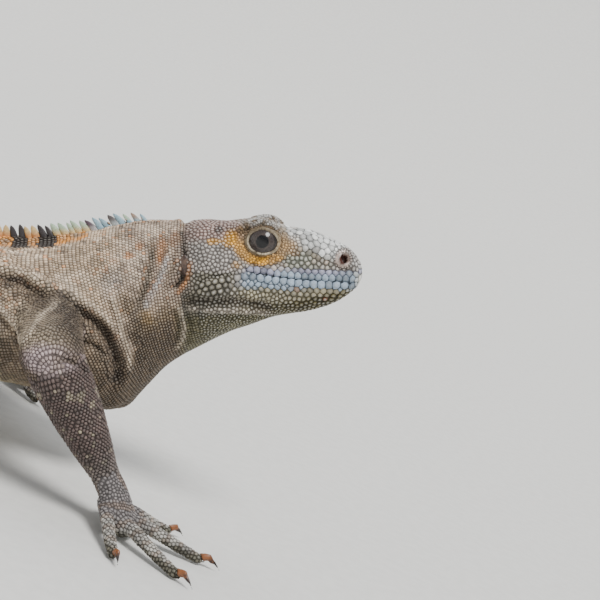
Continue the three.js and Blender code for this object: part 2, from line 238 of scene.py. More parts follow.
def relax(values, edges, strength, rounds):
    """Draws each vertex's value towards the mean of its neighbours', by its own strength."""
    first, second = edges.T
    size = len(values)
    count = np.maximum(np.bincount(first, minlength=size) + np.bincount(second, minlength=size), 1)
    values = values.copy()
    for _ in range(rounds):
        mean = np.stack([np.bincount(first, column[second], size) + np.bincount(second, column[first], size)
                         for column in values.T], axis=1) / count[:, None]
        values += (mean - values) * strength[:, None]
    return values


def mesh_of(form, name):
    """The mesh of a finished bmesh, which is freed."""
    mesh = bpy.data.meshes.new(name)
    form.to_mesh(mesh)
    form.free()
    return mesh


def spread(values, edges, strength, rounds):
    """One value for each vertex, relaxed with the same strength everywhere."""
    return relax(values[:, None], edges, np.full(len(values), strength), rounds)[:, 0]


def add_object(name, mesh):
    piece = bpy.data.objects.new(name, mesh)
    bpy.context.scene.collection.objects.link(piece)
    return piece


def joined_solids(names, swell=0.0):
    """A mesh of the named solids together, grown along their normals by swell mm."""
    form = bmesh.new()
    for name in names:
        form.from_mesh(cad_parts[name].data)
    bmesh.ops.remove_doubles(form, verts=form.verts, dist=0.01 * MM)
    form.normal_update()
    for vertex in form.verts:
        vertex.co += vertex.normal * (swell * MM)
    return mesh_of(form, "solids")


def with_modifier(mesh, kind_of_modifier, **settings):
    """The mesh that a modifier makes of a mesh."""
    carrier = add_object("carrier", mesh)
    modifier = carrier.modifiers.new("shape", kind_of_modifier)
    for name, value in settings.items():
        setattr(modifier, name, value)
    evaluated = carrier.evaluated_get(bpy.context.evaluated_depsgraph_get())
    made = bpy.data.meshes.new_from_object(evaluated)
    bpy.data.objects.remove(carrier)
    return made


def remeshed(mesh, voxel):
    """A mesh made anew of even faces about as wide as voxel, in mm."""
    return with_modifier(mesh, "REMESH", mode="VOXEL", voxel_size=voxel * MM)


class PartFinder:
    """Tells which solid of the body a point belongs to."""

    def __init__(self, names):
        corners = []
        triangles = []
        self.owner = []
        for name in names:
            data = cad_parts[name].data
            first = len(corners)
            corners.extend(vertex.co.copy() for vertex in data.vertices)
            for face in data.polygons:
                triangles.append([first + corner for corner in face.vertices])
                self.owner.append(PART[name])
        self.tree = BVHTree.FromPolygons(corners, triangles)

    def nearest(self, points):
        """Part numbers, and signed distances in mm to the solids, positive inside."""
        parts = np.empty(len(points), np.int32)
        depth = np.empty(len(points))
        for i, point in enumerate(points * MM):
            place, normal, face, distance = self.tree.find_nearest(point)
            parts[i] = self.owner[face]
            depth[i] = distance if (place - Vector(point)).dot(normal) > 0 else -distance
        return parts, depth / MM


# ---- Skin: one surface drawn over all the flesh ----

SKIN_VOXEL = 0.8
SWELL = 0.3  # closes the gaps between neighbouring solids
SMOOTHING_ROUNDS = 150
FLOOR_CLEARANCE = 0.25  # the skin stops this far over the floor, and the scales reach it

HEAD_REAR = -36  # ahead of this, in the fore body's frame, the skin is finer
HIP_SOFTNESS = 24  # how softly the upper arms and thighs leave the trunk
CREST_HALF = 2.6  # half width of the strip on which the solids' spines stand

part_finder = PartFinder(BODY)


def finer_head(mesh):
    """Halves the faces of the head and throat, which carry the finest folds."""
    form = bmesh.new()
    form.from_mesh(mesh)
    fore_x = to_fore(coordinates(mesh))[:, 0]
    form.edges.ensure_lookup_table()
    edges = [edge for edge in form.edges if all(fore_x[end.index] > HEAD_REAR for end in edge.verts)]
    bmesh.ops.subdivide_edges(form, edges=edges, cuts=1, use_grid_fill=True)
    return mesh_of(form, "skin")


def lower_crest(mesh, points, parts):
    """Clears the solids' spines off the midline, and leaves it as a low ridge that carries the blades."""
    back = among(parts, TRUNK) & (vertex_normals(mesh)[:, 2] > 0.3)
    out = np.abs(points[:, 1])
    beside = back & (out > CREST_HALF) & (out < 4.4)
    place = np.arange(-120.0, 132.0, 2.0)
    level = [np.median(points[beside & (np.abs(points[:, 0] - x) < 2.5), 2]) for x in place]
    most = np.interp(points[:, 0], place, level) + 0.4
    middle = back & (out <= CREST_HALF)
    points[middle, 2] = np.minimum(points[middle, 2], most[middle])
    sink = ease(0.9, 4.0, out) * ease(20, 8, out) * ease(106, 88, points[:, 0])
    points[back, 2] -= (2.3 * sink * ease(-125, -60, points[:, 0]))[back]


def draw_skin():
    """The smooth skin's mesh, before it is sculpted."""
    mesh = remeshed(joined_solids(BODY, SWELL), SKIN_VOXEL)
    points = coordinates(mesh)
    edges = edge_pairs(mesh)
    parts, _ = part_finder.nearest(points)
    # The tip of the snout keeps more of its edges than the rest of the head.
    reach = by_kind(SOFTNESS, parts) * (1 - 0.55 * ease(24, 34, to_fore(points)[:, 0]))
    reach = spread(reach, edges, 0.8, 12)
    upper = part_mask(parts, [name for name in LIMBS if kind(name) in UPPER_KINDS])
    near_joint = spread(upper, edges, 0.8, 40)
    reach = np.maximum(reach, HIP_SOFTNESS * near_joint * (1 - near_joint))
    strength = 0.8 * np.minimum(1, (reach / max(SOFTNESS.values())) ** 2)
    points = relax(points, edges, strength, SMOOTHING_ROUNDS)
    # Smoothing shrinks round forms, so the skin goes back out to a coat's depth under the solids.
    parts, depth = part_finder.nearest(points)
    shrunk = relax(np.clip(depth, -1, 3)[:, None], edges, np.maximum(strength, 0.05), 60)[:, 0]
    set_coordinates(mesh, points)
    points = points + vertex_normals(mesh) * (np.maximum(shrunk, 0) - COAT_DEPTH)[:, None]
    lower_crest(mesh, points, parts)
    points[:, 2] = np.maximum(points[:, 2], FLOOR_CLEARANCE)
    set_coordinates(mesh, points)
    mesh = finer_head(mesh)
    points = coordinates(mesh)
    head_only = ease(HEAD_REAR - 1, HEAD_REAR + 3, to_fore(points)[:, 0])
    points = relax(points, edge_pairs(mesh), 0.6 * head_only, 4)
    set_coordinates(mesh, points)
    return mesh


skin_mesh = draw_skin()


# ---- Folds: lines on the fore body, forward and up in its own frame, seen from the side ----
# Each fold has the parts it crosses, its line, and its bells: (distance to the left of the line's
# run, height, width). A negative height is a groove. The last pair is the share of the line over
# which the fold comes in, and the share at which it starts to go out.

FORE_PARTS = ["head", "lower_jaw", "neck", "chest", "belly"] + EYES + EARS
SHOULDER = FORE_PARTS + UPPER_ARMS
RIGHT_ARM = ["upper_arm_right", "forearm_right", "chest"]

MOUTH = [(38.9, -1.9), (30.5, -0.9), (19.7, -0.1), (11.4, 0.8), (2.7, 2.1), (-1.8, 3.0), (-6.5, 3.1)]
BROW = [(-12.5, 17.2), (-6.6, 19.6), (-1.4, 21.1), (4.0, 20.8), (8.7, 18.4), (12.5, 14.6)]
EYE_RIM = [(-9.5, 12.0), (-7.4, 9.2), (-3.6, 6.6), (0.9, 5.3), (6.1, 6.2), (11.4, 8.9), (14.5, 12.8)]
NECK_SLOT = [(-31.6, 20.0), (-30.6, 17.0), (-29.5, 13.0), (-28.6, 8.0), (-28.8, 3.5), (-30.6, -0.4),
             (-33.6, -4.2)]
NECK_RIDGE = [(-34.4, 17.0), (-35.0, 10.8), (-36.2, 4.6), (-38.1, -0.1), (-40.7, -4.0), (-42.3, -7.4),
              (-43.2, -11.5)]
NECK_HOLLOW = [(-40.3, 14.5), (-41.0, 9.2), (-41.9, 4.3), (-43.2, -2.3), (-45.4, -8.0), (-46.0, -13.0)]
JAW_HOLLOW = [(-31.5, -7.6), (-22.6, -7.6), (-14.8, -7.8), (-7.5, -8.3), (-1.0, -9.5), (6.0, -11.2)]
GULAR_LINE = [(-31.0, -10.4), (-22.7, -10.8), (-13.2, -11.4), (-5.8, -12.2), (1.5, -13.1), (7.0, -14.0)]
THROAT_EDGE = [(-31.8, -8.9), (-30.2, -12.3), (-29.6, -15.0), (-29.3, -18.4), (-30.6, -23.0),
               (-33.5, -28.0)]
SHOULDER_ARC = [(-74.8, -2.4), (-70.5, -6.3), (-66.2, -9.6), (-60.5, -14.2), (-56.4, -19.7),
                (-54.1, -27.2), (-53.5, -34.9), (-57.1, -42.6)]
SHOULDER_RIDGE = [(-56.0, -3.5), (-54.0, -8.5), (-52.4, -14.0), (-51.2, -19.5), (-49.8, -24.5),
                  (-49.1, -29.5), (-49.6, -35.0)]
FLANK_FOLD = [(-106.0, 4.0), (-96.1, 2.5), (-89.4, 1.4), (-84.5, -1.2), (-80.0, -3.0), (-76.5, -2.9),
              (-74.0, -1.2)]
ARM_RIDGE_REAR = [(-97.0, -5.0), (-94.5, -9.5), (-90.5, -13.8), (-85.5, -16.6), (-80.2, -17.4)]
ARM_RIDGE_FRONT = [(-80.2, -17.4), (-77.4, -12.9), (-76.0, -9.2), (-73.9, -6.8), (-71.2, -5.6)]
ELBOW_CREASE = [(-65.5, -21.2), (-62.5, -22.3), (-59.6, -24.4), (-56.8, -28.1)]

FOLDS = [
    (FORE_PARTS, MOUTH, [(0, -1.0, 0.5), (1.5, 0.35, 1.1), (-1.5, 0.3, 1.1)]),
    (FORE_PARTS, [(-6.5, 3.1), (-11.0, 2.6), (-18.5, 1.4), (-24.5, -1.4)],
     [(0, -0.8, 0.8), (1.8, 0.5, 1.2)]),
    (FORE_PARTS, BROW, [(0.5, 0.45, 1.3), (-1.5, -0.5, 0.9)]),
    (FORE_PARTS, EYE_RIM, [(0, -0.4, 0.6), (1.3, 0.35, 0.9), (-1.4, 0.25, 0.9)]),
    (FORE_PARTS, NECK_SLOT, [(0, -2.5, 1.1), (-2.6, 1.0, 1.8), (1.9, 0.3, 1.0)], (0.62, 0.9)),
    (FORE_PARTS, NECK_RIDGE, [(0, 1.3, 1.2), (-2.8, -0.7, 1.5), (2.5, -0.6, 1.2)]),
    (FORE_PARTS, NECK_HOLLOW, [(0, -1.5, 1.7), (-3.0, 0.7, 2.0)], (0.25, 0.8)),
    (FORE_PARTS, JAW_HOLLOW, [(0, -1.7, 2.1), (3.0, 0.5, 1.2)]),
    (FORE_PARTS, GULAR_LINE, [(0, 0.9, 0.7), (-2.0, -0.6, 1.4)]),
    (FORE_PARTS, THROAT_EDGE, [(0, 0.9, 0.8), (1.8, -1.0, 1.3), (-1.9, -0.7, 1.3)]),
    (SHOULDER, SHOULDER_ARC, [(0, -2.7, 1.9), (3.0, 1.3, 1.5), (-3.2, 0.5, 2.0)]),
    (FORE_PARTS, SHOULDER_RIDGE, [(0, 1.0, 0.9), (2.4, -0.9, 1.6)]),
    (SHOULDER, FLANK_FOLD, [(0, -2.8, 1.9), (3.0, 1.7, 1.4), (-3.6, 0.4, 2.2)]),
    (RIGHT_ARM, ARM_RIDGE_REAR, [(0, 1.1, 0.9), (-2.4, -1.3, 1.6), (2.4, -0.5, 1.5)]),
    (RIGHT_ARM, ARM_RIDGE_FRONT, [(0, 1.0, 0.8), (-2.2, -0.6, 1.3)]),
    (RIGHT_ARM, ELBOW_CREASE, [(0, -1.2, 0.9), (2.0, 0.4, 1.3), (-2.0, 0.4, 1.3)]),
]

# Rounded swellings between the folds: forward, up, half length, half height, how far they stand out.
LOBES = [(-41.2, -17.0, 3.4, 6.5, 1.2), (-34.8, -18.0, 3.4, 6.5, 1.0), (-19.0, 8.0, 7.0, 6.0, 0.5),
         (-66.0, -24.0, 6.5, 9.0, 1.0)]

NAPE = -30.4  # a groove crosses the nape here

LID_CENTRE = np.array([1.2, 15.0])  # forward and up, of the opening between the lids
LID_OPENING = np.array([5.4, 4.3])  # half length and half height
EYEBALL = np.array([0.8, 8.2, 14.4])

NOSTRIL = np.array([31.5, 6.0, 7.5])
NOSTRIL_HALF = np.array([1.75, 2.1])

FOLD_REACH = 9  # how far from its line a fold is worked out


def lid_ring(fore):
    """Distance from the middle of the lids' opening, 1 at its edge."""
    return np.hypot((fore[:, 0] - LID_CENTRE[0]) / LID_OPENING[0],
                    (fore[:, 2] - LID_CENTRE[1]) / LID_OPENING[1])


def snout_top(fore, at):
    """Height over a slanting line that falls forward along the top of the snout."""
    return fore[:, 2] - at + 0.42 * fore[:, 0]


def in_box_of(flat, line, margin):
    """True for the flat points in the box round a line, that much wider on every side."""
    return np.all((flat > line.min(axis=0) - margin) & (flat < line.max(axis=0) + margin), axis=1)


def fold_heights(fore, parts, facing, edges):
    """How far the folds push each vertex out along its normal."""
    x, y, z = fore.T
    heights = np.zeros(len(fore))
    masks = {}
    wave = 1 + 0.35 * lattice_noise(fore, 3.0, 21)
    drift = 0.7 * lattice_noise(fore, 4.5, 22)
    for names, line, bells, *fades in FOLDS:
        come, go = fades[0] if fades else (0.13, 0.85)
        key = (names[0], len(names))
        if key not in masks:
            mask = part_mask(parts, names)
            if names is RIGHT_ARM:
                mask *= y < 0
            masks[key] = spread(mask, edges, 0.9, 4)
        line = smooth_line(line)
        near = in_box_of(fore[:, [0, 2]], line, FOLD_REACH) & (facing > 0) & (masks[key] > 0)
        away, share = near_line(fore[near][:, [0, 2]], line)
        away += drift[near] * ease(-28, -34, x[near])
        fade = ease(0, come, share) * (1 - ease(go, 1, share)) * wave[near]
        height = sum(rise * bump(away, offset, width) for offset, rise, width in bells)
        heights[near] += height * fade * facing[near] * masks[key][near]
    fore_body = part_mask(parts, FORE_PARTS)
    for ahead, up, length, tall, rise in LOBES:
        heights += rise * bump(x, ahead, length) * bump(z, up, tall) * facing * fore_body
    # The nape's groove, the snout's bridge, and a swelling and a hollow on the crown.
    nape = ease(13, 19, z) * (1 - facing * ease(15, 10, z))
    bridge = np.interp(x, [10, 18, 25, 31, 35, 38], [0, 0.8, 0.9, 1.3, 0.6, 0])
    heights += bridge * ease(-6.5, -3, snout_top(fore, 23.5))
    crown = ease(15.5, 18, z) * bump(np.abs(y), 8.5, 4)
    heights += crown * (0.9 * bump(x, -8.5, 3.5) - 1.6 * bump(x, 8.5, 3.0))
    heights += nape * (0.8 * bump(x, NAPE - 2.4, 1.5) - 1.3 * bump(x, NAPE, 1.0))
    return heights


def lid_radius(ring):
    """Distance of the lids from the eyeball's centre; ring is 1 at the opening's edge."""
    inner = EYE_RADIUS - 1.0 + 1.75 * ease(0.90, 1.03, ring)
    margin = 0.22 * bump(ring, 1.07, 0.05) - 0.28 * bump(ring, 1.16, 0.035)
    outer = 0.25 * bump(ring, 1.25, 0.05) - 0.40 * bump(ring, 1.36, 0.06)
    return inner + margin + outer


def sculpt_lids(fore, sign):
    """Draws the skin over the eyeball as two lids, and back behind it in their opening."""
    centre = EYEBALL * (1, sign, 1)
    offset = fore - centre
    ring = lid_ring(fore)
    ahead = ease(-1, 5, offset[:, 0])
    near = (offset[:, 1] * sign > -2) & (ring < 1.9 + 0.7 * ahead)
    radius = np.linalg.norm(offset[near], axis=1)
    lid = lid_radius(ring[near])
    kept = ease(1.36, np.where(radius > lid, 1.7, 1.85 + 0.7 * ahead[near]), ring[near])
    # Towards the crown the lid only swells the skin, and never hollows it.
    beside = ease(0.25, 0.6, offset[near][:, 1] * sign / radius)
    kept = np.where(radius > lid, 1 - (1 - kept) * beside, kept)
    wanted = lid * (1 - kept) + radius * kept
    fore[near] = centre + offset[near] * (wanted / radius)[:, None]


def sculpt_nostril(fore, normals, sign):
    """A raised ring round a deep opening on the side of the snout."""
    place = NOSTRIL * (1, sign, 1)
    nearest = np.argmin(np.linalg.norm(fore - place, axis=1))
    out = normals[nearest]
    up = unit(np.array([0, 0, 1.0]) - out * out[2])
    along = np.cross(up, out)
    offset = fore - fore[nearest]
    ring = np.hypot(offset @ along / NOSTRIL_HALF[0], offset @ up / NOSTRIL_HALF[1])
    near = (np.linalg.norm(offset, axis=1) < 6) & (normals @ out > 0.2)
    rise = 1.1 * bump(ring, 1.3, 0.28) - 0.45 * bump(ring, 1.95, 0.3) - 2.8 * (1 - ease(0.6, 1.05, ring))
    fore[near] += out * rise[near][:, None]


def sculpt(mesh):
    """Presses the folds, lids, nostrils and loose skin into the smooth skin."""
    points = coordinates(mesh)
    normals = vertex_normals(mesh)
    edges = edge_pairs(mesh)
    parts, _ = part_finder.nearest(points)
    facing = ease(0.12, 0.45, np.abs(normals[:, 1]))
    fore = to_fore(points)
    heights = fold_heights(fore, parts, facing, edges)
    loose = part_mask(parts, TRUNK) * ease(0, 12, points[:, 2]) * ease(-30, -50, fore[:, 0])
    flow = fore * np.array([0.35, 1.0, 1.0])
    heights += loose * (0.45 * lattice_noise(flow, 5.0, 3) + 0.25 * lattice_noise(fore, 3.2, 5))
    points = points + normals * heights[:, None]
    fore = to_fore(points)
    turned = np.stack([normals @ FORE_AHEAD, normals[:, 1], normals @ FORE_UP], axis=1)
    for sign in SIDES.values():
        sculpt_lids(fore, sign)
        sculpt_nostril(fore, turned, sign)
    points = from_fore(fore)
    points[:, 2] = np.maximum(points[:, 2], FLOOR_CLEARANCE)
    set_coordinates(mesh, points)
    return parts


skin_parts = sculpt(skin_mesh)


# ---- Markings: the one set of colours that skin and scales share ----

def linear(red, green, blue):
    """A colour named in display values, 0 to 255, as linear light."""
    share = np.array([red, green, blue]) / 255
    return np.where(share <= 0.04045, share / 12.92, ((share + 0.055) / 1.055) ** 2.4)


SAND = linear(184, 167, 149)
PALE_SAND = linear(212, 199, 184)
NECK_TAN = linear(168, 154, 142)
FOLD_BROWN = linear(134, 121, 112)
OLIVE_BROWN = linear(112, 98, 80)
CHEST_BROWN = linear(86, 75, 63)
# Painted shade for grooves, creases, the mouth's line and the edge of the lids' opening.
FOLD_SHADE = linear(48, 40, 33)
PALE_LIP = linear(204, 192, 177)
GREY_BLUE = linear(168, 165, 163)
RUST = linear(186, 132, 92)
THROAT_OLIVE = linear(92, 88, 66)
HEAD_GREY = linear(152, 147, 143)
CROWN_TAUPE = linear(148, 130, 124)
SNOUT_PALE = linear(212, 213, 212)
SNOUT_SIDE = linear(136, 133, 126)
SNOUT_GREEN = linear(146, 148, 138)
LIP_LAVENDER = linear(138, 140, 158)
LIP_BLUE = linear(144, 155, 167)
JAW_TAN = linear(138, 130, 108)
CHIN_OLIVE = linear(72, 66, 42)
GOLD = linear(212, 165, 98)
NOSTRIL_RED = linear(62, 34, 27)
CHALK = linear(222, 220, 212)
DARK_MARK = linear(58, 50, 48)
FLANK_GREY = linear(132, 123, 111)
BELLY_CREAM = linear(150, 140, 120)
SADDLE_BLACK = linear(56, 48, 42)
ARM_BROWN = linear(90, 79, 69)
FOREARM_PURPLE = linear(80, 69, 66)
# A painted highlight: the lilac sheen on elbows and knees.
LILAC_SHEEN = linear(194, 180, 182)
CREAM_DOT = linear(160, 153, 136)
HAND_GREY = linear(116, 112, 112)
DIGIT_PALE = linear(166, 164, 159)
TAIL_DARK = linear(70, 62, 55)
TAIL_TAN = linear(150, 137, 118)

# Spots on the side of the head and neck: forward, up, half length, half height, colour, strength. Two dark
# brown ones low on the flank, behind the arm, are painted shade.
SPOTS = [
    (-11.3, 15.8, 3.2, 3.4, GOLD, 0.9), (-17.5, 15.0, 3.2, 1.2, GOLD, 0.75),
    (-15.8, 19.0, 2.0, 1.5, DARK_MARK, 0.8), (-11.8, 18.0, 0.9, 1.2, DARK_MARK, 0.5),
    (-1.6, 7.4, 1.3, 1.1, DARK_MARK, 0.6), (-8.5, 6.0, 2.2, 1.8, GOLD, 0.5),
    (-14.0, 12.4, 5.0, 0.9, DARK_MARK, 0.45), (-37.4, 11.0, 2.6, 6.0, RUST, 0.5),
    (-32.6, 16.0, 2.4, 3.5, RUST, 0.35), (-42.5, -13.0, 3.2, 5.5, linear(134, 112, 80), 0.6),
    (-46.0, 13.0, 2.0, 1.8, RUST, 0.4), (-55.0, 8.0, 2.6, 1.4, RUST, 0.25),
    (24.5, -7.6, 1.6, 0.9, linear(120, 66, 44), 0.6), (14.0, -3.6, 2.4, 0.8, RUST, 0.35),
    (11.5, 13.0, 4.6, 4.2, linear(178, 150, 118), 0.7), (13.5, 16.2, 3.2, 0.9, DARK_MARK, 0.4),
    (-69.0, 1.0, 9.0, 4.0, PALE_SAND, 0.5), (-80.0, -11.0, 16.0, 7.0, FLANK_GREY, 0.5),
    (-56.0, 0.0, 6.0, 6.0, GREY_BLUE, 0.35), (-64.0, -28.0, 8.0, 14.0, CHEST_BROWN, 0.7),
    # Painted shade on the low flank, below the fold.
    (-100.0, -25.0, 10.0, 10.0, CHEST_BROWN, 0.75),
    (-47.0, -18.0, 4.0, 9.0, CHEST_BROWN, 0.6), (-50.5, -8.0, 3.5, 6.0, OLIVE_BROWN, 0.6),
    # The second spot on the next line, low on the flank behind the arm, is painted shade.
    (-55.0, -22.0, 3.0, 8.0, FOLD_BROWN, 0.5), (-92.0, -24.0, 12.0, 9.0, CHEST_BROWN, 0.5),
]

# Colours drawn along the folds: line, distance to its left, width, colour, strength. The dark ones in the
# neck's slot and hollow, the jaw's hollow, the mouth's line and under the shoulder and flank folds are
# painted shade.
LINES = [
    (NECK_SLOT, 0.0, 1.5, FOLD_SHADE, 0.9), (NECK_SLOT[3:], 2.2, 0.8, RUST, 0.6),
    (NECK_SLOT, -2.4, 1.4, FOLD_BROWN, 0.7), (NECK_RIDGE[1:], 0.0, 1.3, linear(188, 186, 186), 0.7),
    (NECK_HOLLOW, 0.0, 1.6, linear(84, 78, 68), 0.8), (JAW_HOLLOW, 0.0, 2.2, linear(70, 62, 52), 0.8),
    (GULAR_LINE, 0.0, 0.9, linear(176, 168, 158), 0.8), (THROAT_EDGE, 0.0, 0.9, PALE_LIP, 0.6),
    (SHOULDER_ARC, -0.4, 3.4, FOLD_SHADE, 0.9), (SHOULDER_ARC[:5], 3.6, 1.3, PALE_LIP, 0.5),
    (SHOULDER_RIDGE, 0.0, 0.7, PALE_LIP, 0.6),
    (FLANK_FOLD, -2.6, 2.6, CHEST_BROWN, 0.7), (FLANK_FOLD, -0.6, 2.3, FOLD_SHADE, 0.9),
    (FLANK_FOLD, 2.8, 1.3, PALE_LIP, 0.75), (MOUTH, 0.0, 0.5, FOLD_SHADE, 0.8),
]
# The dark line in the elbow's crease is painted shade.
ARM_LINES = [
    (ARM_RIDGE_REAR, 0.0, 1.0, PALE_LIP, 0.8), (ARM_RIDGE_FRONT, 0.0, 1.0, PALE_LIP, 0.75),
    (ELBOW_CREASE, 0.0, 0.9, FOLD_SHADE, 0.7),
]


class Paint:
    """Colours at a set of points, painted one marking over another."""

    def __init__(self, points, parts):
        self.points = points
        self.parts = parts
        self.fore = to_fore(points)
        self.colors = np.tile(SAND, (len(points), 1))
        self.broad = lattice_noise(points, 8.0, 1)
        self.mottle = lattice_noise(points, 3.4, 2)
        self.fleck = lattice_noise(points, 1.7, 3)
        self.grit = lattice_noise(points, 1.5, 4)
        self.drawn = lattice_noise(points * np.array([1, 0.3, 1]), 1.9, 6)

    def on(self, names):
        return part_mask(self.parts, names)

    def over(self, color, mask):
        self.colors = mix(self.colors, color, np.clip(mask, 0, 1))

    def along(self, lines, where):
        side = self.fore[:, [0, 2]]
        for line, offset, width, color, strength in lines:
            line = smooth_line(line, 5)
            near = where > 0
            near &= (side[:, 0] > line[:, 0].min() - 8) & (side[:, 0] < line[:, 0].max() + 8)
            away, share = near_line(side[near], line)
            fade = ease(0, 0.1, share) * (1 - ease(0.88, 1, share))
            mask = np.zeros(len(side))
            worn = np.clip(0.9 + 0.45 * self.mottle[near] + 0.25 * self.fleck[near], 0, 1)
            mask[near] = strength * fade * worn * bump(away, offset, width) * where[near]
            self.over(color, mask)


# The crest's bands from the neck back: ember first, then soot, and so on in turn. Frame x, in mm.
CREST_BANDS = np.array([98.5, 88.3, 82.0, 78.8, 72.6, 56, 38, 15, -3, -26, -44, -67, -85, -108, -130])


def crest_band(forward):
    """0 ahead of the first band, odd in an ember band and even in a sooty one."""
    return np.sum(CREST_BANDS[:, None] > np.atleast_1d(forward)[None], axis=0)


def paint_crest_strip(paint, height):
    """Ember and sooty patches on both sides of the crest."""
    forward = paint.points[:, 0] - 0.4 * np.abs(paint.points[:, 1]) + 0.8 * paint.fleck
    band = crest_band(forward)
    rear = ease(70, 35, forward)
    out = np.abs(paint.points[:, 1]) + rear * (2.5 + 3.0 * paint.mottle)
    strip = paint.on(TRUNK) * ease(0.55, 0.75, height)
    ember = strip * (band % 2 == 1) * ease(9.5, 6.0, out + 1.5 * paint.fleck)
    paint.over(linear(200, 142, 88), ember * ease(-0.9, 0.2, paint.mottle) * (0.85 - 0.35 * rear))
    soot = strip * (band % 2 == 0) * (band > 0) * ease(10.0, 7.5, out + paint.fleck)
    paint.over(linear(34, 29, 28), (0.96 - 0.2 * rear) * soot)


def paint_trunk(paint, height):
    """Sandy back, saddles that fade down the flanks, grey flanks and a cream belly."""
    x, up = paint.fore[:, 0], paint.fore[:, 2]
    rear = ease(-70, -110, x)
    paint.over(NECK_TAN, ease(-62, -48, x) * 0.9)
    paint.over(PALE_SAND, 0.55 * ease(0.1, 0.6, paint.mottle) * ease(0.0, 0.5, height))
    paint.over(OLIVE_BROWN, 0.35 * ease(0.2, 0.6, -paint.mottle) * ease(0.0, 0.5, height))
    paint.over(FLANK_GREY, rear * ease(0.35, -0.2, height + 0.2 * paint.broad))
    lower = ease(0.05, -0.45, height + 0.12 * paint.mottle)
    paint.over(OLIVE_BROWN, lower * ease(-66, -46, x))
    paint.over(CHEST_BROWN, ease(-0.2, -0.65, height) * (1 - 0.5 * rear))
    paint.over(THROAT_OLIVE, ease(-34, -28, x) * ease(-9, -13, up))
    paint.over(BELLY_CREAM, rear * ease(-0.55, -0.85, height))
    paint.over(DARK_MARK, 0.6 * ease(0.38, 0.65, paint.fleck) * ease(-0.1, 0.3, height))
    paint.over(RUST, 0.6 * ease(0.5, 0.75, paint.grit) * ease(-0.3, 0.1, height) * ease(-110, -95, x))
    paint.over(PALE_SAND, 0.5 * ease(0.45, 0.75, -paint.grit) * ease(-0.3, 0.1, height))
    ragged = (3.5 * paint.broad + 3.0 * paint.mottle) * ease(1, 8, np.abs(paint.points[:, 1]))
    place = paint.points[:, 0] + ragged + 6 * np.abs(height - 1)
    saddle = ease(0.2, 0.75, np.cos(math.tau * (place - 6) / 41))
    saddle *= ease(70, 50, paint.points[:, 0]) * ease(-0.35, 0.9, height)
    paint.over(SADDLE_BLACK, 0.95 * saddle * (0.85 + 0.25 * paint.fleck))
    paint_crest_strip(paint, height)


